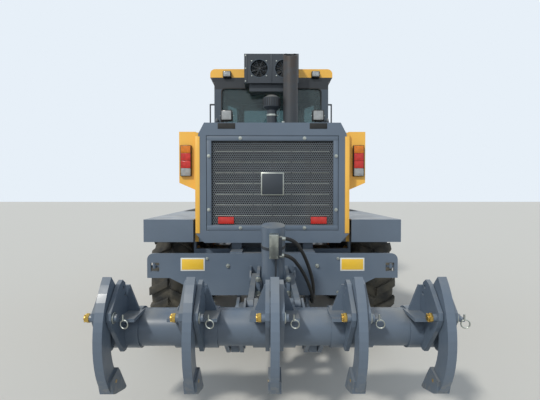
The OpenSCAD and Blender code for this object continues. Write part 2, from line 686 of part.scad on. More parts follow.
// A rounded window between x0 and x1, z0 and z1
module pane_2d(x0, x1, z0, z1, r) {
    translate([x0 + r, z0]) square([x1 - x0 - 2 * r, z1 - z0]);
    translate([x0, z0 + r]) square([x1 - x0, z1 - z0 - 2 * r]);
    for (x = [x0 + r, x1 - r]) for (z = [z0 + r, z1 - r]) translate([x, z]) circle(r);
}
glass_t = 8;
module cab_glass() color("#6E7C86", 0.5) placed() {
    along(20, 20 + glass_t) pane_2d(-cab_half_w + post_w + 20, cab_half_w - post_w - 20, sill_z + 300, head_z, 60);
    along(cab_len - 40, cab_len - 40 + glass_t)
        pane_2d(-cab_nose_half_w + post_w, cab_nose_half_w - post_w, cab_floor_z + 160, head_z, 60);
    both() across(cab_half_w - 40, cab_half_w - 40 + glass_t) pane_2d(post_w + 10, door_y[0] - post_w, sill_z, head_z, 40);
    both() at([cab_half_w, side_end, 0]) rotate([0, 0, nose_deg])
        along(20, 20 + glass_t) pane_2d(post_w, norm(nose_run) - post_w, cab_floor_z + 160, head_z, 50);
}
roof_h = 180;
module cab_roof() color(yellow) placed() union() {
    upright(cab_roof_z, cab_roof_z + 60) offset_plan(30);
    intersection() {
        upright(cab_roof_z + 60, cab_roof_z + roof_h) offset_plan(60);
        along(cab_y0, cab_len + 100)
            pane_2d(-cab_half_w - 60, cab_half_w + 60, cab_roof_z - 60, cab_roof_z + roof_h, 70);
        // The crown drops towards the front and rounds off there
        across(-cab_half_w - 100, cab_half_w + 100) polygon([
            [cab_y0, cab_roof_z], [cab_y0, cab_roof_z + roof_h], [cab_len * 0.55, cab_roof_z + roof_h],
            [cab_len - 60, cab_roof_z + 140], [cab_len + 30, cab_roof_z + 110], [cab_len + 61, cab_roof_z + 60],
            [cab_len + 61, cab_roof_z]
        ]);
    }
}
module offset_plan(w) polygon([
    [-cab_half_w - w, cab_y0 + 20], [cab_half_w + w, cab_y0 + 20], [cab_half_w + w, side_end],
    [cab_nose_half_w + w + 40, cab_len + w], [-cab_nose_half_w - w - 40, cab_len + w], [-cab_half_w - w, side_end]
]);
// Panes of a cab door, drawn in Y and Z, smaller all round by inset
module door_panes(inset) {
    pane_2d(door_y[0] + 70 + inset, door_y[1] - 65 - inset, cab_floor_z + 620 + inset, head_z - inset, 50);
    pane_2d(door_y[0] + 70 + inset, door_y[1] - 65 - inset, cab_floor_z + 170 + inset, cab_floor_z + 540 - inset, 50);
}
module cab_door(side) color(dark) placed() mirror([side < 0 ? 1 : 0, 0, 0]) union() {
    difference() {
        across(cab_half_w - 50, cab_half_w)
            translate([door_y[0] + 5, cab_floor_z + 95]) square([door_y[1] - door_y[0] - 10, cab_roof_z - cab_floor_z - 160]);
        across(cab_half_w - 100, cab_half_w + 10) door_panes(0);
    }
    for (z = hinge_z) {
        block([cab_half_w, door_y[0] + 5, z + 60.3], [cab_half_w + 12, door_y[0] + 60, z + 120]);
        block([cab_half_w + 2, door_y[0], z + 60.3], [cab_half_w + 12, door_y[0] + 10, z + 120]);
        at([cab_hinge[0], cab_hinge[1], z + 60.3]) cylinder(r = 10, h = 59.7);
    }
    // Handle
    block([cab_half_w, door_y[1] - 50, cab_floor_z + 560], [cab_half_w + 24, door_y[1] - 30, cab_floor_z + 720]);
}
module cab_door_left() cab_door(-1);
module cab_door_right() cab_door(1);
module door_glass(side) color("#6E7C86", 0.5) placed() mirror([side < 0 ? 1 : 0, 0, 0])
    across(cab_half_w - 30, cab_half_w - 30 + glass_t) door_panes(0.3);
module door_glass_left() door_glass(-1);
module door_glass_right() door_glass(1);

// Air conditioner on the roof's rear edge, with two round fans
module air_conditioner() color(dark) placed() difference() {
    union() {
        block([-365, -255, cab_roof_z - 90], [365, -0.3, cab_roof_z + 300]);
        block([-300, -205, cab_roof_z - 190], [300, -0.3, cab_roof_z - 89]);
        block([-300, -10, cab_roof_z + roof_h], [300, 200, cab_roof_z + 260]);
    }
    for (x = [-165, 165]) bar_y(-260, -180, [x, cab_roof_z + 105], 118);
}

module seat() color(dark) placed() union() {
    block([-90, 450, cab_floor_z + 60], [90, 630, cab_floor_z + 380]);
    block([-250, 330, cab_floor_z + 380], [250, 830, cab_floor_z + 500]);
    block([-240, 240, cab_floor_z + 420], [240, 350, cab_floor_z + 1080]);
    block([-130, 250, cab_floor_z + 1080], [130, 330, cab_floor_z + 1260]);
    both() block([250, 380, cab_floor_z + 560], [330, 700, cab_floor_z + 640]);
    both() block([250, 340, cab_floor_z + 460], [300, 420, cab_floor_z + 600]);
}
module steering_console() color(dark) placed() union() {
    block([-150, cab_len - 420, cab_floor_z + 60], [150, cab_len - 220, cab_floor_z + 760]);
    at([0, cab_len - 460, cab_floor_z + 860]) rotate([30, 0, 0]) {
        rotate_extrude() translate([190, 0]) circle(16);
        at([-190, -22, -8]) cube([380, 44, 16]);
        at([0, 0, -240]) cylinder(r = 34, h = 236);
    }
}
// Mirrors on arms from the front corners of the cab
mirror_y = 1245;
module mirrors() color(dark) placed() difference() {
    both() union() {
        bar_x(600, 1040, [mirror_y, cab_roof_z - 50], 14);
        at([1040, mirror_y, 2640]) cylinder(r = 12, h = cab_roof_z - 40 - 2640);
        block([960, mirror_y - 22, 2330], [1120, mirror_y + 22, 2720]);
    }
    upright(2000, 3300) cab_plan(0);
}
// Steps hung on the fenders' front ends, short enough for the blade to turn past them
step_rear = tandem_half + tyre_d / 2 + 20;
step_front = 1590;
module steps() color(grey) placed() both() union() {
    for (x = [820, 1140]) {
        block([x, fender_front, 560], [x + 16, step_front, fender_z]);
        block([x, step_rear, 560], [x + 16, fender_front + 1, fender_z - 170]);
    }
    for (z = [570, 840, 1110]) block([836, step_rear, z], [1140, step_front, z + 30]);
}

// Side doors of the hood, hinged at their front edges
module hood_door(side) color(yellow) placed() mirror([side < 0 ? 1 : 0, 0, 0]) union() {
    block([panel_x - panel_t, pod_front + door_gap, seam_z], [panel_x, hood_front - door_gap, hood_shoulder_z + 20]);
    at([panel_x + 6, hood_front - 4, seam_z]) cylinder(r = 10, h = hood_shoulder_z + 20 - seam_z);
    block([panel_x, pod_front + 60, seam_z + 300], [panel_x + 16, pod_front + 120, seam_z + 420]);
}
module hood_door_left() hood_door(-1);
module hood_door_right() hood_door(1);

// FRONT FRAME AND AXLE

// Face of the bolted plate at the nose, and the tow pin's place as [x, y]
plate_y = wheelbase + 610;
tow_pin = [0, wheelbase + 632];
module front_frame() color(yellow) placed() difference() {
    union() {
        across(-boom_w / 2, boom_w / 2) polygon([
            [artic_y + 165, 970], [artic_y + 480, 940], [artic_y + 900, boom_z], [wheelbase - 900, boom_z],
            [wheelbase - 420, 1000], [wheelbase - 300, 900], [wheelbase + 420, 900], [wheelbase + 520, 1000],
            [wheelbase + 520, 1180], [wheelbase - 120, 1330], [wheelbase - 700, boom_z + boom_h],
            [artic_y + 760, boom_z + boom_h], [artic_y + 165, 1195]
        ]);
        at([0, artic_y, hinge_lug_z[0][1] + side_gap]) cylinder(r = 140, h = hinge_lug_z[1][0] - hinge_lug_z[0][1] - 2 * side_gap);
        block([-140, artic_y, 970], [140, artic_y + 200, 1195]);
        at([0, artic_y, hinge_lug_z[0][0] - 20]) cylinder(r = hinge_r - pin_gap, h = hinge_lug_z[1][1] - hinge_lug_z[0][0] + 40);
        // Saddle with the arms of the two lift cylinders
        block([-boom_w / 2 - 40, lift_y - 130, boom_z - 30], [boom_w / 2 + 40, lift_y + 130, boom_z + boom_h + 40]);
        both() for (y = [lift_y - 130, lift_y + 90]) block([boom_w / 2, y, lift_z - 90], [lift_x + 150, y + 40, lift_z + 90]);
        both() block([lift_x + 92, lift_y - 130, lift_z - 90], [lift_x + 150, lift_y + 130, lift_z + 90]);
        both() block([boom_w / 2, lift_y - 130, lift_z - 90], [lift_x - 92, lift_y + 130, lift_z + 90]);
        // Bolster and socket of the drawbar
        block([-200, wheelbase - 200, 778], [200, wheelbase + 200, 960]);
        block([-150, wheelbase + 360, 730], [150, wheelbase + 580, 1170]);
        block([-260, wheelbase + 580, 720], [260, plate_y, 1180]);
        // Head lamps on a bar across the nose
        bar_x(-440, 440, [wheelbase - 130, 1345], 22);
        both() block([330, wheelbase - 160, 1300], [450, wheelbase - 70, 1420]);
        // Ears for a tow pin
        for (z = [730, 820]) upright(z, z + 30) strap([0, plate_y - 10], tow_pin, 60, 38);
        at([0, ball_y, ball_z]) block([-100, 40, -65], [100, 260, 90]);
    }
    at([0, ball_y, ball_z]) sphere(r = ball_r + pin_gap);
    both() bar_x(lift_x - 160, lift_x + 160, [lift_y, lift_z], lift_trunnion_r + pin_gap);
    // Bolt holes of the front plate and the tow pin's hole
    for (x = [-200, 200]) for (z = [790, 1110]) bar_y(plate_y - 40, plate_y + 10, [x, z], 13.5);
    at([tow_pin[0], tow_pin[1], 700]) cylinder(r = 20.5, h = 180);
}

// Front axle: an arched beam with a kingpin eye at each end
module front_axle() color(yellow) placed() difference() {
    union() {
        along(wheelbase - 110, wheelbase + 110) polygon([
            [-kingpin_half + 60, 580], [-480, 600], [-200, 700], [200, 700], [480, 600], [kingpin_half - 60, 580],
            [kingpin_half - 60, 760], [480, 800], [200, 778], [-200, 778], [-480, 800], [-kingpin_half + 60, 760]
        ]);
        both() at([kingpin_half, wheelbase, 580]) cylinder(r = 90, h = 180);
    }
    both() at([kingpin_half, wheelbase, 500]) cylinder(r = 42, h = 400);
}
// Knuckle: a yoke over and under the kingpin eye, the wheel's spindle and the steering arm
arm_back = 230;
module knuckle(side) color(grey) placed() mirror([side < 0 ? 1 : 0, 0, 0]) union() {
    for (z = [[500, 580 - side_gap], [760 + side_gap, 840]]) {
        at([kingpin_half, wheelbase, z[0]]) cylinder(r = 90, h = z[1] - z[0]);
        block([kingpin_half, wheelbase - 80, z[0]], [kingpin_half + 140, wheelbase + 80, z[1]]);
    }
    block([kingpin_half + 98, wheelbase - 80, 500], [kingpin_half + 150, wheelbase + 80, 840]);
    at([kingpin_half, wheelbase, 500]) cylinder(r = 42 - pin_gap, h = 340);
    bar_x(kingpin_half + 140, track_half + 8, [wheelbase, axle_z], spindle_r);
    // Steering arm, behind the axle
    upright(500, 530) polygon([
        [kingpin_half - 60, wheelbase], [kingpin_half + 60, wheelbase],
        [kingpin_half + 40, wheelbase - arm_back - 40], [kingpin_half - 40, wheelbase - arm_back - 40]
    ]);
}
module knuckle_left() knuckle(-1);
module knuckle_right() knuckle(1);
tie_z = 530 + 0.3;
module tie_rod() color(steel) placed() union() {
    bar_x(-kingpin_half + 30, kingpin_half - 30, [wheelbase - arm_back, tie_z + 28], 24);
    both() at([kingpin_half, wheelbase - arm_back, tie_z]) cylinder(r = 36, h = 56);
}

// DRAWBAR, CIRCLE AND BLADE

circle_y = artic_y + circle_ahead;
lift_x = 520;
lift_y = circle_y + 40;
lift_z = 1990;
lift_trunnion_r = 34;
ball_y = wheelbase - 330;
ball_z = 850;
ball_r = 70;
circle_top = 1000;
circle_t = 90;
module drawbar() color(dark) placed() union() {
    at([0, ball_y, ball_z]) sphere(r = ball_r);
    upright(circle_top + side_gap, circle_top + 90) difference() {
        polygon([
            [-70, ball_y - 420], [70, ball_y - 420], [620, circle_y + 380], [620, circle_y - 480],
            [-620, circle_y - 480], [-620, circle_y + 380]
        ]);
        translate([0, circle_y]) circle(420);
        polygon([[-30, ball_y - 900], [30, ball_y - 900], [330, circle_y + 600], [-330, circle_y + 600]]);
    }
    // Drive of the circle: a gearbox with its motor on top
    at([0, circle_y + 510, circle_top + 89]) cylinder(r = 85, h = 120);
    at([0, circle_y + 510, circle_top + 89]) cylinder(r = 58, h = 225);
    across(-70, 70) polygon([
        [ball_y - 45, ball_z - 40], [ball_y - 45, ball_z + 40], [ball_y - 300, circle_top + 90],
        [ball_y - 560, circle_top + 90], [ball_y - 560, circle_top + side_gap], [ball_y - 320, ball_z + 20]
    ]);
    // Wear shoes that ride on the circle
    for (a = [45:90:315]) at([0, circle_y, 0]) rotate([0, 0, a]) block(
        [circle_d / 2 - ring_w + 10, -60, circle_top + 0.3], [circle_d / 2 - 10, 60, circle_top + side_gap]);
    // Ears for the lift cylinders' rods
    both() for (x = [[lift_x - 76, lift_x - 50], [lift_x + 50, lift_x + 76]]) across(x[0], x[1]) union() {
        strap([lift_y, rod_pin_z], [lift_y, circle_top + 60], 50, 80);
    }
}
rod_pin_z = 1200;
lift_barrel_r = 65;
lift_bore_r = 50;
lift_rod_r = 31;
barrel_low = 1560;
barrel_high = 2830;
module lift_barrels() color(yellow) placed() both() at([lift_x, lift_y, 0]) difference() {
    union() {
        at([0, 0, barrel_low]) cylinder(r = lift_barrel_r, h = barrel_high - barrel_low);
        at([0, 0, barrel_low]) cylinder(r = lift_barrel_r + 10, h = 70);
        at([0, 0, lift_z - 60]) cylinder(r = lift_barrel_r + 12, h = 120);
        rotate([0, 90, 0]) at([-lift_z, 0, -145]) cylinder(r = lift_trunnion_r, h = 290);
    }
    at([0, 0, barrel_low + 60]) cylinder(r = lift_bore_r, h = barrel_high - barrel_low - 90);
    at([0, 0, barrel_low - 1]) cylinder(r = lift_rod_r + pin_gap, h = 80);
}
module lift_rods() color(steel) placed() both() at([lift_x, lift_y, 0]) union() {
    at([0, 0, rod_pin_z]) cylinder(r = lift_rod_r, h = 1330);
    at([0, 0, rod_pin_z + 1280]) cylinder(r = lift_bore_r - pin_gap, h = 50);
    rotate([0, 90, 0]) at([-rod_pin_z, 0, -36]) cylinder(r = 48, h = 72);
    rotate([0, 90, 0]) at([-rod_pin_z, 0, -46]) cylinder(r = 24, h = 92);
}

// Circle: a toothed ring with the two arms that carry the blade
tooth_count = 48;
ring_w = 110;
// Middle of the moldboard's curve, as [y, z], and its radius
curve_c = [circle_y - 30, blade_clear + 300];
curve_r = 400;
skin_t = 22;
tip_axis = [circle_y - 545, blade_clear + 140];
tip_pin_r = 28;
arm_x = [612, 652];
bracket_x = [540, 600];
// Tip cylinder: its trunnion on the circle and its eye on the bracket
tip_pivot = [circle_y - 840, 800];
tip_eye = [circle_y - 510, 760];
tip_lug_x = [56, 80];
module turning_circle() color(dark) placed() difference() {
    union() {
        upright(circle_top - 90, circle_top) translate([0, circle_y]) difference() {
            circle(circle_d / 2);
            circle(circle_d / 2 - ring_w);
            for (i = [0:tooth_count - 1]) rotate(i * 360 / tooth_count)
                translate([circle_d / 2 - ring_w, 0]) square([36, 34], center = true);
        }
        both() across(arm_x[0], arm_x[1]) polygon([
            [circle_y - 620, circle_top - 90], [circle_y - 395, circle_top - 90], [circle_y - 505, blade_clear + 560],
            [circle_y - 505, blade_clear + 480], tip_axis + [48, 0], tip_axis + [0, -50], tip_axis + [-50, 0],
            [circle_y - 640, blade_clear + 400]
        ]);
        both() bar_x(arm_x[0], arm_x[1], tip_axis, 52);
        block([-arm_x[1], circle_y - 740, circle_top - 150], [arm_x[1], circle_y - 620, circle_top - 90]);
        both() block([arm_x[0] - 90, circle_y - 740, circle_top - 150], [arm_x[1], circle_y - 520, circle_top - 90]);
        both() across(tip_lug_x[0], tip_lug_x[1]) strap(tip_pivot, [circle_y - 690, circle_top - 120], 46, 30);
    }
    both() bar_x(arm_x[0] - 20, arm_x[1] + 20, tip_axis, tip_pin_r + pin_gap);
    bar_x(-100, 100, tip_pivot, 26 + pin_gap);
}

// Blade bracket: two plates that pivot on the circle's arms and hold the blade's rails
rail_up = [[circle_y - 450, blade_clear + 475], [circle_y - 385, blade_clear + 535]];
rail_low = [[circle_y - 480, blade_clear + 110], [circle_y - 400, blade_clear + 170]];
// How far the rails stop short of the blade's ends
rail_inset = 600;
// How far the bracket's jaws reach over the rails
jaw = 14;
rail_gap = 0.3;
module blade_bracket() color(dark) placed() union() {
    union() {
        both() across(bracket_x[0], bracket_x[1]) union() {
            polygon([
                tip_axis + [-50, -60], [rail_low[0][0] - side_gap, tip_axis[1] - 90], [rail_low[0][0] - side_gap, rail_up[1][1] + 40],
                [rail_low[0][0] - 40, rail_up[1][1] + 40], tip_axis + [-50, 60]
            ]);
            for (r = [rail_up, rail_low]) {
                translate([rail_low[0][0] - 40, r[1][1] + rail_gap]) square([r[0][0] - rail_low[0][0] + 40 + jaw, 28]);
                translate([rail_low[0][0] - 40, r[0][1] - rail_gap - 28]) square([r[0][0] - rail_low[0][0] + 40 + jaw, 28]);
            }
            translate([rail_low[0][0] - 40, rail_up[0][1] - 34]) square([rail_up[0][0] - rail_low[0][0] + 40 - side_gap, 120]);
        }
        bar_x(-bracket_x[0] - 10, bracket_x[0] + 10, [circle_y - 530, blade_clear + 300], 42);
        both() across(tip_lug_x[0], tip_lug_x[1]) strap([circle_y - 530, blade_clear + 300], tip_eye, 50, 40);
        both() bar_x(bracket_x[0], arm_x[1], tip_axis, tip_pin_r);
    }
}
// Blade: a curved skin with a cutting edge, end bits and two rails on its back
module blade() color(dark) placed() union() {
    across(-blade_len / 2, blade_len / 2) union() {
        arc_band(curve_c, curve_r, curve_r + skin_t, 133, 216);
        polygon([
            curve_c + curve_r * [cos(216), sin(216)], curve_c + (curve_r + skin_t) * [cos(216), sin(216)],
            [curve_c[0] - 282, blade_clear], [curve_c[0] - 258, blade_clear]
        ]);
    }
    across(-blade_len / 2 + rail_inset, blade_len / 2 - rail_inset) {
        polygon([rail_up[0], [rail_up[1][0] + 12, rail_up[0][1]], [rail_up[1][0] + 40, rail_up[1][1]], [rail_up[0][0], rail_up[1][1]]]);
        polygon([rail_low[0], [rail_low[1][0] + 12, rail_low[0][1]], [rail_low[1][0] + 2, rail_low[1][1]], [rail_low[0][0], rail_low[1][1]]]);
    }
}

tip_dir = (tip_eye - tip_pivot) / norm(tip_eye - tip_pivot);
tip_len = norm(tip_eye - tip_pivot);
tip_lean = atan2(tip_dir[1], tip_dir[0]);
tip_rod_r = 25;
tip_bore_r = 38;
tip_barrel_end = 240;
// The tip cylinder is drawn along Y, from its trunnion to its eye
module on_tip() at([0, tip_pivot[0], tip_pivot[1]]) rotate([tip_lean, 0, 0]) children();
module tip_barrel() color(dark) placed() on_tip() difference() {
    union() {
        bar_y(-170, tip_barrel_end, [0, 0], 48);
        bar_x(-tip_lug_x[1], tip_lug_x[1], [0, 0], 26);
    }
    bar_y(-155, tip_barrel_end - 30, [0, 0], tip_bore_r);
    bar_y(tip_barrel_end - 50, tip_barrel_end + 10, [0, 0], tip_rod_r + pin_gap);
}
module tip_rod() color(steel) placed() on_tip() union() {
    bar_y(-120, tip_len - 20, [0, 0], tip_rod_r);
    bar_y(-120, -95, [0, 0], tip_bore_r - pin_gap);
    bar_x(-44, 44, [tip_len, 0], 36);
    bar_x(-50, 50, [tip_len, 0], 20);
}

rear_frame();
axle_housing();
tandem_cases();
engine_block();
engine_hood();
rear_grille();
side_panels();
lamps();
fenders();
bumper_plate();
exhaust_stack();
air_precleaner();
cab_base();
cab_frame();
cab_glass();
cab_roof();
air_conditioner();
seat();
steering_console();
mirrors();
steps();
hood_door_left();
hood_door_right();
cab_door_left();
cab_door_right();
door_glass_left();
door_glass_right();
tyre_rear_left();
tyre_rear_right();
tyre_mid_left();
tyre_mid_right();
tyre_front_left();
tyre_front_right();
rim_rear_left();
rim_rear_right();
rim_mid_left();
rim_mid_right();
rim_front_left();
rim_front_right();
front_frame();
front_axle();
knuckle_left();
knuckle_right();
tie_rod();
drawbar();
lift_barrels();
lift_rods();
turning_circle();
blade_bracket();
blade();
tip_barrel();
tip_rod();
ripper_lower_link();
ripper_upper_links();
ripper_beam();
ripper_shanks();
ripper_barrel();
ripper_rod();
ripper_hoses();
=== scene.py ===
"""A motor grader with a rear ripper, seen from straight behind and dressed for close views."""

import math

import bmesh
import bpy
from mathutils import Matrix, Vector
from mathutils.geometry import interpolate_bezier


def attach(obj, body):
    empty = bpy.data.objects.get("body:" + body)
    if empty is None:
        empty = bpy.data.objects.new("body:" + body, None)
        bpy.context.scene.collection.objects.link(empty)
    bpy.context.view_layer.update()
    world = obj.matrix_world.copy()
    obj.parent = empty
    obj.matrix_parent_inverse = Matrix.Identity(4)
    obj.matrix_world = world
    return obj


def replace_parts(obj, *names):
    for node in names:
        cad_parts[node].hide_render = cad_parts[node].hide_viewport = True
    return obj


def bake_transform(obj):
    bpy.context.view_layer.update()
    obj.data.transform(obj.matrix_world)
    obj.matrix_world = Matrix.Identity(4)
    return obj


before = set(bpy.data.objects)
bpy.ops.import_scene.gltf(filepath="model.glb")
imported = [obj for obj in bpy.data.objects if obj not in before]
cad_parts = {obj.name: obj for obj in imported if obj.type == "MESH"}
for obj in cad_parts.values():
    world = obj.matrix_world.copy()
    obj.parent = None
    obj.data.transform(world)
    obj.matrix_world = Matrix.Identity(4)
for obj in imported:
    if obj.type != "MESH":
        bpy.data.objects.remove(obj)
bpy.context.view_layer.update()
scene = bpy.context.scene


# VIEWPOINT
# The camera stands behind the machine at eye height and looks forward along it,
# a hair down and to the right, with the photograph's wide view.
focal_pixels, picture_pixels, sensor_width = 395, 540, 36
camera = bpy.data.objects.new("camera", bpy.data.cameras.new("camera"))
camera.location = (-0.04, -7.54, 1.68)
camera.rotation_euler = (math.radians(90 - 1.16), 0, math.radians(-0.22))
camera.data.sensor_width = sensor_width
camera.data.lens = focal_pixels / picture_pixels * sensor_width
scene.collection.objects.link(camera)
scene.camera = camera
scene.view_settings.view_transform = "Standard"


def colour(code, shade=1.0):
    """A #RRGGBB colour as linear red, green, blue and alpha, made darker or lighter."""
    values = [int(code[i:i + 2], 16) / 255 for i in (1, 3, 5)]
    return (*[shade * (v / 12.92 if v <= 0.04045 else ((v + 0.055) / 1.055) ** 2.4) for v in values], 1)


def connect(tree, value, socket):
    """Links an output to an input, or sets the input to a plain value or to a code's colour."""
    if isinstance(value, bpy.types.NodeSocket):
        tree.links.new(value, socket)
    else:
        socket.default_value = colour(value) if isinstance(value, str) else value


def add_node(tree, kind, inputs, **settings):
    """A shader node with its settings, and its inputs by name or number."""
    node = tree.nodes.new("ShaderNode" + kind)
    for word, value in settings.items():
        setattr(node, word, value)
    for key, value in inputs.items():
        connect(tree, value, node.inputs[key])
    return node


def empty_tree(holder):
    """Clears the nodes of a material or a world."""
    holder.use_nodes = True
    holder.node_tree.nodes.clear()
    return holder.node_tree


def new_material(name):
    """An empty material and its node tree."""
    material = bpy.data.materials.new(name)
    return material, empty_tree(material)


def shaded(tree, inputs):
    """Ends a material in a principled shader with these inputs."""
    shader = add_node(tree, "BsdfPrincipled", inputs)
    add_node(tree, "OutputMaterial", {0: shader.outputs[0]})
    return shader


bm = bmesh.new()
bmesh.ops.create_grid(bm, x_segments=1, y_segments=1, size=60.0)
floor_mesh = bpy.data.meshes.new("floor")
bm.to_mesh(floor_mesh)
bm.free()
floor = bpy.data.objects.new("floor", floor_mesh)
scene.collection.objects.link(floor)
concrete, tree = new_material("pale floor")
shaded(tree, {"Base Color": (0.62, 0.61, 0.57, 1), "Roughness": 0.85, "Specular IOR Level": 0.2})
floor_mesh.materials.append(concrete)

sun = bpy.data.objects.new("sun", bpy.data.lights.new("sun", "SUN"))
sun.data.energy = 2.1
sun.data.angle = math.radians(6)
sun.data.color = (1.0, 0.97, 0.91)
sun.rotation_euler = (math.radians(38), math.radians(-32), 0)
scene.collection.objects.link(sun)

sky = bpy.data.worlds.new("sky")
scene.world = sky
tree = empty_tree(sky)
lighting = add_node(tree, "Background", {"Color": (0.82, 0.9, 1.0, 1), "Strength": 0.62})
backdrop = add_node(tree, "Background", {"Color": (0.8, 0.87, 0.94, 1), "Strength": 1.0})
ray = add_node(tree, "LightPath", {}).outputs
seen = add_node(tree, "Math", {0: ray["Is Camera Ray"], 1: ray["Is Transmission Ray"]}, operation="ADD")
seen = add_node(tree, "Math", {0: seen.outputs[0], 1: ray["Is Glossy Ray"]}, operation="ADD", use_clamp=True)
choice = add_node(tree, "MixShader", {0: seen.outputs[0], 1: lighting.outputs[0], 2: backdrop.outputs[0]})
add_node(tree, "OutputWorld", {0: choice.outputs[0]})


# FRAMES, CASES AND COVERS IN PAINTED STEEL
# Welded plate frames, tandem cases, hood, fenders and ripper are sprayed blue-grey, and
# panels, rims and boom warm yellow, with a fine orange-peel skin and dust where it settles.
def object_point(tree):
    return add_node(tree, "TexCoord", {}).outputs["Object"]


def object_height(tree):
    return add_node(tree, "SeparateXYZ", {0: object_point(tree)}).outputs["Z"]


def mapped(tree, value, low, high):
    """0 where the value is below low, 1 where it is above high."""
    return add_node(tree, "MapRange", {"Value": value, "From Min": low, "From Max": high}).outputs["Result"]


def product(tree, a, b):
    return add_node(tree, "Math", {0: a, 1: b}, operation="MULTIPLY").outputs[0]


def noise_mask(tree, scale, low, high, detail=5):
    """A clouded mask in the object's own coordinates."""
    noise = add_node(tree, "TexNoise", {"Vector": object_point(tree), "Scale": scale, "Detail": detail})
    return mapped(tree, noise.outputs["Fac"], low, high)


def bumped(tree, height, strength, distance):
    return add_node(tree, "Bump", {"Height": height, "Strength": strength, "Distance": distance}).outputs[0]


def mixed(tree, factor, a, b):
    """Colour a turning into colour b with the factor."""
    return add_node(tree, "Mix", {0: factor, 6: a, 7: b}, data_type="RGBA").outputs[2]


def settled_dust(tree, amount):
    """A clouded mask of the dust that lies on faces turned up."""
    normal = add_node(tree, "SeparateXYZ", {0: add_node(tree, "NewGeometry", {}).outputs["Normal"]})
    upward = mapped(tree, normal.outputs["Z"], 0.25, 1.0)
    return product(tree, product(tree, upward, noise_mask(tree, 5.0, 0.3, 0.75)), amount)


def paint(name, code, roughness=0.38, dust=0.45, peel=0.12):
    """Sprayed two-pack paint on steel plate."""
    material, tree = new_material(name)
    body = mixed(tree, noise_mask(tree, 1.7, 0.35, 0.7), code, colour(code, 0.86))
    gloss = add_node(tree, "MapRange", {"Value": noise_mask(tree, 9.0, 0.3, 0.7), "To Min": roughness - 0.06,
                                        "To Max": roughness + 0.12})
    shaded(tree, {"Base Color": mixed(tree, settled_dust(tree, dust), body, "#A79F8C"),
                  "Roughness": gloss.outputs["Result"], "Coat Weight": 0.25, "Coat Roughness": 0.12,
                  "Normal": bumped(tree, noise_mask(tree, 220.0, 0.2, 0.8, 2), peel, 0.0006)})
    return material


def paint_over(material, mask, code):
    """Covers the paint with another colour where the mask is."""
    tree = material.node_tree
    shader = next(node for node in tree.nodes if node.type == "BSDF_PRINCIPLED")
    painted = shader.inputs["Base Color"].links[0].from_socket
    connect(tree, mixed(tree, mask, painted, code), shader.inputs["Base Color"])
    return shader


def finish(material, *names):
    """Gives solids their material. A name that ends in _ stands for all that begin so."""
    begins = tuple(name for name in names if name.endswith("_"))
    for name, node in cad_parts.items():
        if name not in names and not name.startswith(begins):
            continue
        if node.material_slots:
            node.material_slots[0].material = material
        else:
            node.data.materials.append(material)


grey = paint("blue-grey paint", "#5F6D7D")
yellow = paint("yellow paint", "#F7BE4E", 0.34, 0.25)
charcoal = paint("charcoal paint", "#2C343D", 0.5, 0.5)
cab_paint = paint("cab paint", "#3E4A56", 0.36, 0.3)
scuffed_paint = paint("scuffed paint", "#5F6D7D")
tree = scuffed_paint.node_tree
scuffs = product(tree, mapped(tree, object_height(tree), 0.62, 0.22), noise_mask(tree, 26.0, 0.5, 0.58))
shader = paint_over(scuffed_paint, scuffs, "#8E9192")
connect(tree, scuffs, shader.inputs["Metallic"])
finish(scuffed_paint, "ripper_shanks")
finish(grey, "rear_frame", "axle_housing", "tandem_cases", "engine_hood", "fenders", "bumper_plate",
       "ripper_lower_link", "ripper_upper_links", "ripper_beam", "ripper_barrel", "steps", "knuckle_")
finish(yellow, "side_panels", "hood_door_", "cab_base", "front_frame", "front_axle", "lift_barrels", "rim_")
finish(charcoal, "engine_block", "drawbar", "turning_circle", "blade_bracket", "blade", "tip_barrel",
       "rear_grille", "air_conditioner", "air_precleaner", "exhaust_stack", "mirrors")
finish(cab_paint, "cab_door_")


# TYRES
# Black moulded rubber with bias lugs, scuffed grey-brown all over by the yard's dust.
# They are fitted on the rims' bead seats.
def rubber(name, code, dust):
    """Moulded rubber, matt, with dust worked into it."""
    material, tree = new_material(name)
    dusty = product(tree, noise_mask(tree, 7.0, 0.35, 0.75, 8), dust)
    shaded(tree, {"Base Color": mixed(tree, dusty, code, "#77705F"), "Roughness": 0.78,
                  "Normal": bumped(tree, noise_mask(tree, 90.0, 0.3, 0.7), 0.3, 0.002)})
    return material


tyre_rubber = rubber("tyre rubber", "#2B2C2C", 0.55)
plastic = rubber("black plastic", "#1B1D20", 0.12)
finish(tyre_rubber, "tyre_")
finish(plastic, "steering_console", "seat", "ripper_hoses")


# RODS AND PINS
# Cylinder rods and the tie rod are ground steel bar with hard chrome. Bolts and clamps are
# zinc plated, the ripper's nuts and tooth pins yellow zinc.
def clouded(name, cloud, first, second, inputs):
    """A material whose colour clouds between two, with its shader's other inputs."""
    material, tree = new_material(name)
    shader = shaded(tree, {"Base Color": mixed(tree, noise_mask(tree, *cloud), first, second), **inputs})
    return material, tree, shader


def bare_metal(name, code, roughness):
    """Bare or plated metal with faint drawn marks."""
    return clouded(name, (24.0, 0.4, 0.75), code, colour(code, 0.75),
                   {"Metallic": 1.0, "Roughness": roughness})[0]


chrome = bare_metal("hard chrome", "#C9CDD1", 0.14)
zinc = bare_metal("zinc plate", "#B9BDB6", 0.36)
gold_zinc = bare_metal("yellow zinc plate", "#C8A75A", 0.35)
finish(chrome, "lift_rods", "tip_rod", "ripper_rod", "tie_rod")


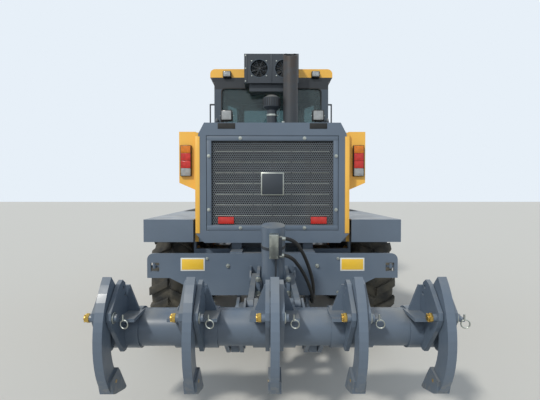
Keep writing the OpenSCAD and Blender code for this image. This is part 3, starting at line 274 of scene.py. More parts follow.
# CAB GLASS AND ROOF
# Green-grey tinted toughened glass, bonded in its rebates. The roof is a yellow moulding
# on a black gutter, and the cab's frame is black above the windows.
glass = clouded("tinted glass", (2.0, 0.3, 0.7), "#8FA6A8", "#86A0A4",
                {"Roughness": 0.02, "Transmission Weight": 0.9, "IOR": 1.45})[0]
finish(glass, "cab_glass", "door_glass_")
for node_name, name, code, roughness, dust, edge_height, black_side in (
        ("cab_roof", "roof paint", "#F7BE4E", 0.34, 0.35, 3.291, "LESS_THAN"),
        ("cab_frame", "cab frame paint", "#3E4A56", 0.4, 0.3, 3.12, "GREATER_THAN")):
    two_tone = paint(name, code, roughness, dust)
    tree = two_tone.node_tree
    black = add_node(tree, "Math", {0: object_height(tree), 1: edge_height}, operation=black_side)
    paint_over(two_tone, black.outputs[0], "#1B2026")
    finish(two_tone, node_name)
finish(plastic, "lamps")


# RADIATOR GRILLE
# A hex-punched steel screen in a folded border, held to the hood's rear frame by eight zinc
# bolts, with pressed ribs across it, a bare badge plate and two red reflectors.
pivot_y = -1.962
sides = (-1, 1)
rearward = (0, -1, 0)


def spot(x, y, z):
    """A point measured from the ground under the tandem pivot, in the row frame."""
    return Vector((x, y + pivot_y, z))


def at(point, angle=0.0, axis="X"):
    """Moves a shape to a point and turns it there, by degrees, about its own axis."""
    return Matrix.Translation(point) @ Matrix.Rotation(math.radians(angle), 4, axis)


def round_edges(bm, edges, offset):
    bmesh.ops.bevel(bm, geom=edges, offset=offset, offset_type="OFFSET", segments=2, profile=0.5,
                    affect="EDGES", material=-1)


def add_block(bm, low, high, bevel=0.003, turn=None):
    """A block between two corners, its edges rounded."""
    low, high = Vector(low), Vector(high)
    shape = Matrix.Translation((low + high) / 2) @ Matrix.Diagonal((*(high - low), 1))
    made = bmesh.ops.create_cube(bm, size=1.0, matrix=(turn or Matrix()) @ shape)
    if bevel:
        round_edges(bm, list({edge for vert in made["verts"] for edge in vert.link_edges}), bevel)


def add_slab(bm, x, half, ys, zs, bevel=0.003):
    """A block of a half width about x, between two places along the machine and two heights."""
    add_block(bm, spot(x - half, ys[0], zs[0]), spot(x + half, ys[1], zs[1]), bevel)


def add_rod(bm, a, b, radius, end_radius=None, sides=24, bevel=0.0):
    """A round bar or cone from a to b, its rims rounded."""
    a, b = Vector(a), Vector(b)
    turn = (b - a).to_track_quat("Z", "Y").to_matrix().to_4x4()
    made = bmesh.ops.create_cone(bm, cap_ends=True, segments=sides, radius1=radius,
                                 radius2=radius if end_radius is None else end_radius,
                                 depth=(b - a).length, matrix=Matrix.Translation((a + b) / 2) @ turn)
    if bevel:
        round_edges(bm, list({edge for vert in made["verts"] for edge in vert.link_edges
                              if any(len(face.verts) > 4 for face in edge.link_faces)}), bevel)


def add_bar(bm, x, y, z, *sizes, **options):
    """A round bar or cone along the one way that is given as a pair of places."""
    a, b = zip(*(way if isinstance(way, tuple) else (way, way) for way in (x, y, z)))
    add_rod(bm, spot(*a), spot(*b), *sizes, **options)


def add_bolt(bm, centre, way, across=0.03):
    """A hexagon head on its washer, pointing one way."""
    centre, way = Vector(centre), Vector(way).normalized()
    add_rod(bm, centre - way * 0.003, centre + way * 0.1 * across, 0.68 * across)
    add_rod(bm, centre, centre + way * 0.62 * across, 0.56 * across, sides=6, bevel=0.05 * across)


def place(name, bm, material, body="chassis"):
    """Makes the mesh a piece that rides on a body, its sharp edges kept, and empties it for the next."""
    crease = math.radians(32)
    bmesh.ops.recalc_face_normals(bm, faces=bm.faces)
    for face in bm.faces:
        face.smooth = True
    for edge in bm.edges:
        edge.smooth = len(edge.link_faces) == 2 and edge.calc_face_angle(0) < crease
    mesh = bpy.data.meshes.new(name)
    bm.to_mesh(mesh)
    bm.clear()
    mesh.materials.append(material)
    piece = bpy.data.objects.new(name, mesh)
    scene.collection.objects.link(piece)
    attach(piece, body)
    return piece


bm = bmesh.new()
hood_back = -1.58
grille_half, grille_low, grille_high, border = 0.668, 1.292, 2.248, 0.05
cell, margin = 0.0125, 0.08
for row in range(int((grille_high - grille_low - margin) / (cell * 1.5))):
    for column in range(int((2 * grille_half - margin) / (cell * math.sqrt(3)))):
        across = (column + 0.5 * (row % 2)) * cell * math.sqrt(3)
        hole = spot(across - grille_half + 0.046, hood_back + 0.03, grille_low + 0.046 + row * cell * 1.5)
        bmesh.ops.create_circle(bm, cap_ends=True, segments=6, radius=cell, matrix=at(hole, 90))
bmesh.ops.remove_doubles(bm, verts=bm.verts, dist=0.0005)
bmesh.ops.recalc_face_normals(bm, faces=bm.faces)
bmesh.ops.inset_individual(bm, faces=bm.faces, thickness=0.0022)
bmesh.ops.delete(bm, geom=[face for face in bm.faces if len(face.verts) == 6], context="FACES")
bmesh.ops.solidify(bm, geom=bm.faces, thickness=0.0015)
screen_paint = paint("screen paint", "#7C838A", 0.5, 0.6, 0.0)
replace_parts(place("grille_screen", bm, screen_paint), "rear_grille")

for side in sides:
    add_block(bm, spot(side * grille_half - (border if side > 0 else 0), hood_back + 0.006, grille_low),
              spot(side * grille_half + (border if side < 0 else 0), hood_back + 0.036, grille_high), 0.004)
for z in (grille_low, grille_high - border):
    add_slab(bm, 0, grille_half, (hood_back + 0.0055, hood_back + 0.0355), (z, z + border), 0.004)
place("grille_border", bm, grey)
for rib in range(7):
    z = 2.093 - rib * 0.109
    for part in range(6):
        x = -0.58 + part * 0.195
        add_bar(bm, (x, x + 0.185), hood_back + 0.027, z, 0.0022, sides=8)
place("grille_ribs", bm, zinc)
for x, heights in ((0.645, (1.5, 2.044)), (0.325, (1.316, 2.224))):
    for side in sides:
        for z in heights:
            add_bolt(bm, spot(side * x, hood_back + 0.006, z), rearward, 0.026)
place("grille_bolts", bm, zinc)

badge_z = 1.762
add_slab(bm, 0, 0.118, (hood_back + 0.014, hood_back + 0.028), (badge_z - 0.118, badge_z + 0.118), 0.006)
place("badge_rim", bm, zinc)
add_slab(bm, 0, 0.106, (hood_back + 0.011, hood_back + 0.02), (badge_z - 0.106, badge_z + 0.106), 0.004)
place("badge_plate", bm, charcoal)


def waves(tree, scale, direction):
    """Even waves along one of the object's own axes."""
    return add_node(tree, "TexWave", {"Vector": object_point(tree), "Scale": scale},
                    bands_direction=direction).outputs["Fac"]


def lens(name, code, through):
    """Moulded lens plastic with fine vertical flutes."""
    material, tree, shader = clouded(name, (30.0, 0.3, 0.7), code, colour(code, 0.7),
                                     {"Roughness": 0.12, "Transmission Weight": through})
    connect(tree, bumped(tree, waves(tree, 45.0, "X"), 0.35, 0.001), shader.inputs["Normal"])
    return material


red_lens = lens("red lens", "#D8362F", 0.1)
for side in sides:
    add_slab(bm, side * 0.472, 0.081, (hood_back + 0.015, hood_back + 0.029), (1.356, 1.427), 0.004)
place("grille_reflectors", bm, red_lens)


# TAIL AND WORK LAMPS
# Upright tail lamps with moulded lenses in rubber surrounds on the yellow pods, square work
# lamps on bent brackets on the hood, and a pair bolted under the roof's rear edge.
amber_lens = lens("amber lens", "#F08A1E", 0.15)
clear_lens = lens("clear lens", "#E9EEF0", 0.55)
lights, reds, ambers, silver = (bmesh.new() for _ in range(4))
tail_z, tail_height = 1.84, 0.33
for side in sides:
    # Tail lamp
    x = side * 0.9
    add_slab(bm, x, 0.058, (-1.466, -1.43), (tail_z + 0.003, tail_z + tail_height - 0.003), 0.008)
    for lump, low, high in ((lights, 0.008, 0.086), (reds, 0.087, 0.164), (reds, 0.165, 0.243),
                            (ambers, 0.244, 0.322)):
        add_slab(lump, x, 0.051, (-1.4695, -1.45), (tail_z + low, tail_z + high), 0.005)
    # Hood work lamp on its bracket
    x = side * 0.464
    add_slab(bm, x, 0.06, (-1.574, -1.522), (2.398, 2.51), 0.012)
    add_slab(lights, x, 0.049, (-1.5885, -1.566), (2.408, 2.5), 0.008)
    add_slab(bm, x, 0.088, (-1.5845, -1.5795), (2.318, 2.374), 0.002)
    add_bar(silver, x, (-1.5725, -1.56), 2.461, 0.036, 0.022, sides=32)
    for edge in sides:
        add_slab(bm, x + edge * 0.061, 0.0015, (-1.56, -1.53), (2.382, 2.47), 0.001)
        add_bolt(silver, spot(x + edge * 0.0625, -1.545, 2.455), (edge, 0, 0), 0.011)
    add_slab(bm, x, 0.062, (-1.565, -1.525), (2.38, 2.384), 0.001)
    # Roof work lamp
    x = side * 0.62
    add_slab(bm, x, 0.058, (-0.042, 0.019), (3.282, 3.368), 0.01)
    add_slab(lights, x, 0.049, (-0.0515, -0.036), (3.29, 3.36), 0.006)
    for edge in sides:
        bulb_x = x + edge * 0.024
        add_bar(silver, bulb_x, (-0.0425, -0.034), 3.325, 0.02, 0.012)
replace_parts(place("lamp_housings", bm, plastic), "lamps")
place("lamp_clear_lenses", lights, clear_lens)
place("tail_red_lenses", reds, red_lens)
place("tail_amber_lenses", ambers, amber_lens)
place("lamp_fittings", silver, zinc)


# HOOD TRIM
# The yellow panels' returns round the hood's rear corners, the doors' pressed louvres and
# latches, and the grab rails on top are folded sheet and tube, bolted or welded on.
def add_pipe(bm, points, radius, sides):
    """Straight lengths of bar or tube, one after the other."""
    for a, b in zip(points, points[1:]):
        add_rod(bm, a, b, radius, sides=sides)


def add_ball(bm, centre, radius, rings=10):
    bmesh.ops.create_uvsphere(bm, u_segments=16, v_segments=rings, radius=radius,
                              matrix=Matrix.Translation(centre))


hands = ((-1, "left"), (1, "right"))
for side in sides:
    add_slab(bm, side * 0.7555, 0.021, (hood_back - 0.0045, hood_back + 0.002), (1.262, 2.24), 0.002)
    add_slab(bm, side * 0.776, 0.003, (hood_back - 0.004, -1.478), (1.262, 2.24), 0.002)
place("hood_corner_strips", bm, yellow)
for side in sides:
    rail = [spot(side * 0.6, y, z) for y, z in ((-1.3, 2.379), (-1.3, 2.44), (-1.27, 2.468),
                                                (-0.33, 2.468), (-0.3, 2.44), (-0.3, 2.379))]
    add_pipe(bm, rail, 0.013, 16)
    for bend in rail[1:-1]:
        add_ball(bm, bend, 0.013)
    for foot in (rail[0], rail[-1]):
        add_rod(bm, foot, foot + Vector((0, 0, 0.008)), 0.028, bevel=0.002)
place("hood_grab_rails", bm, charcoal)
for side, word in hands:
    for louvre in range(9):
        z = 1.62 + louvre * 0.045
        add_block(bm, (-0.0045, -0.26, -0.011), (0.0045, 0.26, 0.011), 0.004,
                  Matrix.Translation(spot(side * 0.8015, -0.45, z)) @ Matrix.Rotation(side * 0.45, 4, "Y"))
    place("hood_door_louvres_" + word, bm, yellow, "hood_door_" + word)
    add_bar(bm, (side * 0.815, side * 0.821), -0.92, 1.84, 0.024, bevel=0.002)
    add_slab(bm, side * 0.8185, 0.0045, (-0.945, -0.885), (1.831, 1.849), 0.003)
    place("hood_door_latch_" + word, bm, zinc, "hood_door_" + word)


# EXHAUST AND AIR INTAKE
# A rolled steel stack on a flanged foot, browned by heat towards its top and sooted inside,
# and beside it the moulded pre-cleaner on its neck, with a band clamp.
up = (0, 0, 1)


def around(count, radius, first=0.0):
    """Pairs evenly round a circle, from an angle in degrees."""
    angles = [math.radians(first + index * 360 / count) for index in range(count)]
    return [(radius * math.cos(angle), radius * math.sin(angle)) for angle in angles]


def band(inner, outer, low, high):
    """The outline of a plain ring, for turning."""
    return [(inner, low), (outer, low), (outer, high), (inner, high), (inner, low)]


def add_turned(bm, outline, origin, axis, steps=48):
    """An outline of radius and height turned round an axis through the origin."""
    turn = Matrix.Translation(origin) @ Vector(axis).to_track_quat("Z", "Y").to_matrix().to_4x4()
    verts = [bm.verts.new(turn @ Vector((radius, 0, height))) for radius, height in outline]
    edges = [bm.edges.new(pair) for pair in zip(verts, verts[1:])]
    bmesh.ops.spin(bm, geom=verts + edges, cent=turn.translation, axis=turn.to_3x3() @ Vector(up),
                   angle=2 * math.pi, steps=steps, use_merge=True)
    bmesh.ops.remove_doubles(bm, verts=bm.verts, dist=0.00001)


stack_x, intake_y = 0.23, -0.7
heated_steel, tree = new_material("heated steel")
stain = product(tree, mapped(tree, object_height(tree), 2.5, 3.4), noise_mask(tree, 14.0, 0.25, 0.6))
browned = mixed(tree, stain, "#3F4449", "#453B35")
from_axis = add_node(tree, "VectorMath", {0: object_point(tree), 1: spot(stack_x, intake_y, 0)},
                     operation="SUBTRACT")
flat = add_node(tree, "VectorMath", {0: from_axis.outputs[0], 1: (1, 1, 0)}, operation="MULTIPLY")
radius = add_node(tree, "VectorMath", {0: flat.outputs[0]}, operation="LENGTH").outputs["Value"]
in_bore = add_node(tree, "Math", {0: radius, 1: 0.084}, operation="LESS_THAN").outputs[0]
shaded(tree, {"Base Color": mixed(tree, in_bore, browned, "#0B0B0B"), "Roughness": 0.52,
              "Metallic": 0.2})
finish(heated_steel, "exhaust_stack")
for x, y in around(8, 0.112, 20):
    add_bolt(bm, spot(stack_x + x, intake_y + y, 2.386), up, 0.016)
add_turned(bm, band(0.0625, 0.0665, -0.011, 0.011), spot(0, intake_y, 2.62), up)
add_bar(bm, (0.06, 0.078), intake_y, 2.62, 0.007, sides=12)
add_bar(bm, 0.128, -1.02, (2.379, 2.47), 0.012, sides=16)
add_bar(bm, 0.128, -1.02, (2.47, 2.492), 0.017, sides=6, bevel=0.001)
place("stack_and_intake_fittings", bm, zinc)
for turn in range(24):
    add_block(bm, (0.1035, -0.0035, -0.048), (0.1085, 0.0035, 0.048), 0.001,
              at(spot(0, intake_y, 2.776), turn * 15, "Z"))
add_turned(bm, [(0.0, 0.0), (0.046, 0.0), (0.052, 0.01), (0.052, 0.0), (0.03, -0.004), (0.0, -0.004)],
           spot(0, intake_y, 2.861), up)
place("precleaner_vanes", bm, plastic)


# AIR CONDITIONER
# A pressed steel case hung behind the cab's roof, with two axial fans behind dark wire guards
# and four zinc bolts to a fan.
fan_x, fan_z, case_back = 0.165, 3.335, -0.255
blades, wires, bolts = bmesh.new(), bmesh.new(), bmesh.new()
for side in sides:
    centre = spot(side * fan_x, case_back + 0.04, fan_z)
    add_rod(blades, centre + Vector((0, 0.03, 0)), centre - Vector((0, 0.012, 0)), 0.034, bevel=0.004)
    for turn in range(8):
        add_block(blades, (0.03, -0.002, -0.022), (0.112, 0.002, 0.022), 0.0015,
                  at(centre, turn * 45 + side * 12, "Y") @ Matrix.Rotation(0.6, 4, "X"))
    for radius in (0.045, 0.068, 0.091, 0.113):
        add_turned(wires, [(radius - 0.0015, 0), (radius, 0.0015), (radius + 0.0015, 0), (radius, -0.0015),
                           (radius - 0.0015, 0)], spot(side * fan_x, case_back + 0.008, fan_z), (0, 1, 0))
    middle = spot(side * fan_x, case_back + 0.01, fan_z)
    for x, z in around(8, 0.118, 22)[:4]:
        add_rod(wires, middle - Vector((x, 0, z)), middle + Vector((x, 0, z)), 0.0018, sides=8)
    add_turned(wires, band(0.117, 0.126, -0.001, 0.003), spot(side * fan_x, case_back, fan_z), (0, 1, 0))
    for x, z in around(4, 0.139, 45):
        add_bolt(bolts, spot(side * fan_x + x, case_back, fan_z + z), rearward, 0.013)
place("condenser_fans", blades, plastic)
place("condenser_guards", wires, cab_paint)
for x in (-0.345, 0.345):
    for z in (3.165, 3.335, 3.505):
        add_bolt(bolts, spot(x, case_back, z), rearward, 0.014)
place("condenser_bolts", bolts, zinc)
for x, half in ((0, 0.01), (-0.33, 0.009), (0.33, 0.009)):
    add_slab(bm, x, half, (case_back - 0.004, case_back + 0.002), (3.15, 3.52))
place("condenser_ribs", bm, charcoal)


# BUMPER PLATE
# Flame-cut plate, its trunnion bearings capped and bolted with large zinc bolts, with two
# blank retro-reflective plates riveted on and hooks in the square holes.
bumper_back = -1.73
caps = bmesh.new()
for side in sides:
    add_bolt(bm, spot(side * 0.436, bumper_back, 0.959), rearward, 0.03)
    add_slab(caps, side * 0.1295, 0.017, (-2.241, -2.212), (0.79, 0.97), 0.005)
    for z in (0.82, 0.94):
        add_bolt(bm, spot(side * 0.1295, -2.241, z), rearward, 0.034)
    for z in (0.7, 1.03):
        add_bolt(bm, spot(side * 0.64, bumper_back, z), rearward, 0.022)
    x = side * 1.147
    add_bar(caps, x, (bumper_back - 0.03, bumper_back + 0.04), 0.947, 0.013)
    add_bar(caps, x, bumper_back - 0.028, (0.947, 0.985), 0.013)
    add_slab(caps, x, 0.05, (bumper_back + 0.03, bumper_back + 0.044), (0.936, 0.958))
place("bumper_bolts", bm, zinc)
place("trunnion_caps_and_hooks", caps, grey)
rims, fields = bmesh.new(), bmesh.new()
for side in sides:
    x = side * 0.78
    add_slab(rims, x, 0.118, (bumper_back - 0.002, bumper_back + 0.001), (0.909, 1.037), 0.0008)
    add_slab(fields, x, 0.106, (bumper_back - 0.003, bumper_back + 0.0005), (0.921, 1.025), 0.0005)
place("sign_rims", rims, paint("sign white", "#DDE0DC", 0.3, 0.15, 0.0))
place("sign_fields", fields, paint("sign yellow", "#EFC33A", 0.3, 0.15, 0.0))


# RIPPER POCKETS AND CYLINDER
# Cast teeth on bent shanks are pinned in welded pockets: a castle nut in yellow zinc on the
# left of each, a ring-handled pin on the right. The cylinder carries a galvanised valve
# block with steel fittings.
def add_wire_ring(bm, radius, wire, centre, axis, steps):
    """A ring of round wire."""
    outline = [(radius + x, y) for x, y in around(12, wire)]
    add_turned(bm, outline + [outline[0]], centre, axis, steps)


shank_pitch = 0.533
shank_places = [index * shank_pitch for index in range(-2, 3)]
pin_y, pin_z = -3.1295, 0.8954
nuts, rings = bmesh.new(), bmesh.new()
for x in shank_places:
    add_bar(nuts, (x - 0.084, x - 0.106), pin_y, pin_z, 0.03, sides=6, bevel=0.003)
    add_bar(nuts, (x - 0.106, x - 0.1175), pin_y, pin_z, 0.02, bevel=0.001)
    for turn in range(3):
        add_block(nuts, (-0.0115, -0.025, -0.004), (-0.001, 0.025, 0.004), 0.001,
                  at(spot(x - 0.105, pin_y, pin_z), turn * 60))
    add_bar(rings, (x + 0.0605, x + 0.068), pin_y, pin_z, 0.036, bevel=0.002)
    add_bar(rings, x + 0.1185, pin_y, (pin_z - 0.02, pin_z + 0.02), 0.006, sides=12)
    add_wire_ring(rings, 0.026, 0.0045, spot(x + 0.1255, pin_y, pin_z - 0.04), (0.25, 1, 0), 32)
place("pocket_nuts", nuts, gold_zinc, "ripper_carriage")
place("pocket_pin_rings", rings, zinc, "ripper_carriage")

trunnion, lean = spot(0, -2.16, 0.88), math.atan2(0.075, 0.38)
along_cylinder = Matrix.Translation(trunnion) @ Matrix.Rotation(lean, 4, "X")
cylinder_way = along_cylinder.to_3x3() @ Vector(up)
across_cylinder = along_cylinder.to_3x3() @ Vector(rearward)
add_block(bm, (-0.034, -0.1545, 0.288), (0.042, -0.096, 0.492), 0.003, along_cylinder)
for x in (-0.024, 0.032):
    for z in (0.3, 0.48, 0.39):
        add_bolt(bm, along_cylinder @ Vector((x, -0.1545, z)), across_cylinder, 0.011)
place("ripper_valve_block", bm, zinc, "ripper_barrel")
add_block(bm, (0.042, -0.15, 0.3), (0.07, -0.1, 0.47), 0.003, along_cylinder)
add_turned(bm, band(0.1005, 0.1045, -0.012, 0.012), along_cylinder @ Vector((0, 0, 0.35)), cylinder_way)
add_pipe(bm, [along_cylinder @ Vector((0.02, y, z))
              for y, z in ((-0.128, 0.29), (-0.128, 0.1), (-0.112, -0.06), (-0.096, -0.08))], 0.008, 12)
place("ripper_cylinder_trim", bm, charcoal, "ripper_barrel")
add_turned(bm, [(0.06, -0.002), (0.099, -0.002), (0.1035, 0.003), (0.1035, 0.022), (0.0985, 0.026)],
           along_cylinder @ Vector((0, 0, -0.186)), cylinder_way)
place("ripper_gland_ring", bm, zinc, "ripper_barrel")


# RIPPER HOSES
# Two wire-braided rubber hoses with crimped steel ends run from the valve block down past
# the bumper to the junction block under the right rail.
hose_routes = {
    "ripper_hose_upper": ((60, -2370, 1300), (115, -2370, 1298), (180, -2350, 1265), (235, -2295, 1190),
                          (280, -2220, 1100), (320, -2130, 1000), (352, -2035, 900), (375, -1940, 800),
                          (385, -1850, 710), (387, -1760, 655), (387, -1641.5, 640)),
    "ripper_hose_lower": ((60, -2350, 1160), (100, -2350, 1158), (155, -2330, 1130), (205, -2270, 1070),
                          (255, -2190, 990), (300, -2100, 900), (340, -2010, 800), (368, -1920, 710),
                          (383, -1830, 640), (387, -1740, 606), (387, -1641.5, 602)),
}
hose_ends = bmesh.new()
for name, route in hose_routes.items():
    points = [spot(*(value / 1000 for value in point)) for point in route]
    curve = bpy.data.curves.new(name, "CURVE")
    curve.dimensions = "3D"
    curve.bevel_depth = 0.015
    curve.bevel_resolution = 4
    curve.use_fill_caps = True
    spline = curve.splines.new("BEZIER")
    spline.bezier_points.add(len(points) - 1)
    for knot, point in zip(spline.bezier_points, points):
        knot.co = point
        knot.handle_left_type = knot.handle_right_type = "AUTO"
    guide = bpy.data.objects.new(name + "_guide", curve)
    scene.collection.objects.link(guide)
    hose_mesh = bpy.data.meshes.new_from_object(guide.evaluated_get(bpy.context.evaluated_depsgraph_get()))
    knots = spline.bezier_points
    path = [point for a, b in zip(knots, knots[1:])
            for point in interpolate_bezier(a.co, a.handle_right, b.handle_left, b.co, 5)[:-1]]
    path.append(knots[-1].co.copy())
    bpy.data.objects.remove(guide)
    hose = bpy.data.objects.new(name, hose_mesh)
    scene.collection.objects.link(hose)
    hose_mesh.materials.clear()
    hose_mesh.materials.append(plastic)
    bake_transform(hose)
    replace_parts(hose, "ripper_hoses")
    begin = points[0]
    add_rod(hose_ends, begin - Vector((0.006, 0, 0)), begin + (points[1] - begin) * 0.7, 0.0175, bevel=0.001)
    add_rod(hose_ends, begin - Vector((0.01, 0, 0)), begin + Vector((0.012, 0, 0)), 0.021, sides=6,
            bevel=0.001)
place("hose_crimps", hose_ends, zinc, "ripper_barrel")


# TREADS AND WHEEL NUTS
# Moulded bias lugs run from the middle of each tread down its shoulders, with small blocks
# between them. The rims are held by rings of zinc nuts, and the hubs closed by bolted caps.
carcass_radius, lug_radius, lug_begin, lug_end = 0.585, 0.6725, 0.01, 0.2145


def lug_mesh(side):
    """One slanting tread lug, its shoulder dropping away, wrapped on the carcass."""
    bm = bmesh.new()
    bmesh.ops.create_cube(bm, size=1.0)
    lengthways = [edge for edge in bm.edges if abs(edge.verts[0].co.y - edge.verts[1].co.y) > 0.5]
    bmesh.ops.subdivide_edges(bm, edges=lengthways, cuts=4, use_grid_fill=True)
    corners = [edge for edge in bm.edges
               if edge.calc_face_angle(0) > 1.0 and edge.verts[0].co.z + edge.verts[1].co.z > 0.1]
    round_edges(bm, corners, 0.07)
    for vert in bm.verts:
        u, v, w = vert.co.x, vert.co.y + 0.5, vert.co.z + 0.5
        out = lug_begin + (lug_end - lug_begin) * v
        drop = max(0.0, (out - 0.15) / 0.065) ** 2 * 0.03
        radius = carcass_radius + (lug_radius - drop - carcass_radius) * w
        angle = (0.0525 - 0.105 * v + 0.086 * u) / 0.66
        vert.co = Vector((side * out, radius * math.cos(angle), radius * math.sin(angle)))
    mesh = bpy.data.meshes.new("lug")
    bm.to_mesh(mesh)
    bm.free()
    return mesh


tyre_outline = [(0.3385, 0.15), (0.34, 0.163), (0.352, 0.181), (0.372, 0.192), (0.392, 0.199),
                (0.4, 0.204), (0.408, 0.203), (0.44, 0.214), (0.47, 0.2205), (0.482, 0.2222),
                (0.492, 0.2215), (0.5, 0.2195), (0.53, 0.2185), (0.552, 0.215), (0.58, 0.206),
                (0.606, 0.192), (0.625, 0.168), (0.636, 0.14), (0.64, 0.1125), (0.6425, 0.055),
                (0.643, 0.0)]
tyre_outline += [(radius, -out) for radius, out in reversed(tyre_outline[:-1])]
lug_total = 20
for side in (1, -1):
    lug = lug_mesh(side)
    for index in range(lug_total):
        bm.from_mesh(lug)
        bm.verts.ensure_lookup_table()
        angle = (index + (0.5 if side < 0 else 0)) * 2 * math.pi / lug_total
        bmesh.ops.transform(bm, matrix=Matrix.Rotation(angle, 4, "X"), verts=bm.verts[-len(lug.vertices):])
add_turned(bm, tyre_outline + [tyre_outline[0]], (0, 0, 0), (1, 0, 0), 96)
for index in range(2 * lug_total):
    angle = (index + 0.25) * math.pi / lug_total
    add_block(bm, (-0.01, -0.017, 0.0), (0.01, 0.017, 0.01), 0.003,
              Matrix.Rotation(angle, 4, "X") @ Matrix.Translation((0, 0, 0.6405)))
tyre_master = bpy.data.meshes.new("tyre_master")
bm.to_mesh(tyre_master)
bm.clear()

for out, across, circle in ((0.02, 0.026, around(12, 0.186, 9)), (0.09, 0.015, around(8, 0.105, 22))):
    for y, z in circle:
        add_bolt(bm, (out, y, z), (1, 0, 0), across)
add_rod(bm, (0.09, 0, 0), (0.096, 0, 0), 0.05, bevel=0.002)
add_rod(bm, (0.15, 0.3, 0.06), (0.178, 0.312, 0.063), 0.005, sides=12)
studs_master = bpy.data.meshes.new("studs_master")
bm.to_mesh(studs_master)
bm.clear()
track_half, axle_height = 1.09, 0.674
for word, y in (("rear_", -0.769), ("mid_", 0.769), ("front_", 6.48)):
    for side, hand in hands:
        where = at(spot(side * track_half, y, axle_height), 0 if side > 0 else 180, "Z")
        for master, name, material in ((tyre_master, "tyre_dressed_", tyre_rubber),
                                       (studs_master, "wheel_studs_", zinc)):
            bm.from_mesh(master)
            bmesh.ops.transform(bm, matrix=where, verts=bm.verts)
            piece = place(name + word + hand, bm, material, "wheel_" + word + hand)
            if master == tyre_master:
                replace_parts(piece, "tyre_" + word + hand)


# DRIVER'S SEAT
# A sprung pedestal carries moulded foam under black fabric, sewn in channels: cushion, back,
# headrest and two armrests.
def add_pad(bm, low, high, crown, channels=(), turn=None):
    """A padded block: crowned faces, pulled-in corners and sewn channels across its X."""
    low, high = Vector(low), Vector(high)
    half = (high - low) / 2
    pad = bmesh.new()
    bmesh.ops.create_cube(pad, size=1.0)
    bmesh.ops.subdivide_edges(pad, edges=pad.edges, cuts=22, use_grid_fill=True)
    for vert in pad.verts:
        u, v, w = 2 * vert.co
        rounding = 1 - 0.085 * (abs(u * v) ** 6 + abs(v * w) ** 6 + abs(u * w) ** 6)
        inset = crown * (1 - (1 - u * u) * (1 - v * v))
        groove = sum(math.exp(-((u * half.x - line) / 0.007) ** 2) for line in channels)
        groove *= 0.008 * (1 - abs(v) ** 8)
        point = Vector((u * half.x, v * half.y, w * half.z)) * rounding
        point.z -= w * inset + (math.copysign(groove, w) if abs(w) > 0.98 else 0)
        point += (low + high) / 2
        vert.co = turn @ point if turn else point
    shape = bpy.data.meshes.new("pad")
    pad.to_mesh(shape)
    pad.free()
    bm.from_mesh(shape)
    bpy.data.meshes.remove(shape)


seat_cloth, tree, shader = clouded("seat cloth", (60.0, 0.35, 0.7), "#1D1F23",
                                   colour("#1D1F23", 1.5), {"Roughness": 0.92, "Sheen Weight": 0.3})
connect(tree, bumped(tree, noise_mask(tree, 480.0, 0.3, 0.7, 1), 0.4, 0.001), shader.inputs["Normal"])
add_pad(bm, spot(-0.248, 0.345, 1.832), spot(0.248, 0.828, 1.949), 0.016, (-0.13, -0.045, 0.045, 0.13))
cushion = place("seat_cushion", bm, seat_cloth)
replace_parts(cushion, "seat")
add_pad(bm, (-0.238, -0.328, -0.052), (0.238, 0.328, 0.052), 0.014, (-0.12, -0.04, 0.04, 0.12),
        turn=at(spot(0, 0.295, 2.2), 90))
place("seat_back", bm, seat_cloth)
add_pad(bm, (-0.128, -0.086, -0.038), (0.128, 0.086, 0.038), 0.01, turn=at(spot(0, 0.29, 2.622), 90))
place("seat_headrest", bm, seat_cloth)
for side in sides:
    add_pad(bm, spot(side * 0.29 - 0.038, 0.382, 2.012), spot(side * 0.29 + 0.038, 0.698, 2.088), 0.006)
place("seat_armrests", bm, seat_cloth)
add_slab(bm, 0, 0.2, (0.4, 0.78), (1.795, 1.834), 0.006)
add_slab(bm, 0, 0.15, (0.42, 0.68), (1.512, 1.54), 0.005)
for side in sides:
    for low_y, high_y in ((0.43, 0.66), (0.66, 0.43)):
        add_rod(bm, spot(side * 0.11, low_y, 1.535), spot(side * 0.11, high_y, 1.8), 0.013, sides=16)
    add_bar(bm, side * 0.052, 0.29, (2.5, 2.57), 0.007, sides=12)
    add_slab(bm, side * 0.262, 0.01, (0.345, 0.4), (1.9, 2.03), 0.004)
    add_rod(bm, spot(side * 0.262, 0.372, 2.02), spot(side * 0.3, 0.4, 2.03), 0.012, sides=16)
for fold in range(5):
    z = 1.56 + fold * 0.046
    add_turned(bm, [(0.15 - 0.02 * (fold % 2), 0), (0.162, 0.011), (0.15, 0.024)], spot(0, 0.545, z), up, 32)
place("seat_pedestal", bm, plastic)


# CAB FITTINGS
# Round the driver are a display in a moulded case, side consoles with control levers, pedals
# and a floor mat. Outside are rubber window seals, door grips, wipers and mirror glass.
add_slab(bm, 0, 0.145, (1.048, 1.062), (2.195, 2.33), 0.006)
for side in sides:
    add_slab(bm, side * 0.42, 0.065, (0.36, 0.86), (1.512, 2.02), 0.02)
    for lever in range(4):
        x, y = side * (0.38 + 0.028 * (lever % 2)), 0.64 + 0.046 * lever
        add_rod(bm, spot(x, y, 2.015), spot(x, y + 0.012, 2.12), 0.006, sides=12)
        add_ball(bm, spot(x, y + 0.013, 2.13), 0.018, 12)
    add_slab(bm, side * 0.15, 0.04, (1.12, 1.18), (1.56, 1.578), 0.004)
add_slab(bm, 0, 0.64, (0.075, 1.3), (1.511, 1.517), 0.002)
place("cab_consoles", bm, plastic)
add_slab(bm, 0, 0.12, (1.045, 1.05), (2.212, 2.318), 0.001)
display_glass = clouded("display glass", (6.0, 0.4, 0.6), "#10181C", "#1C2A30",
                        {"Roughness": 0.06})[0]
place("cab_display", bm, display_glass)
for side in sides:
    add_slab(bm, side * 1.04, 0.068, (1.2215, 1.225), (2.345, 2.705), 0.001)
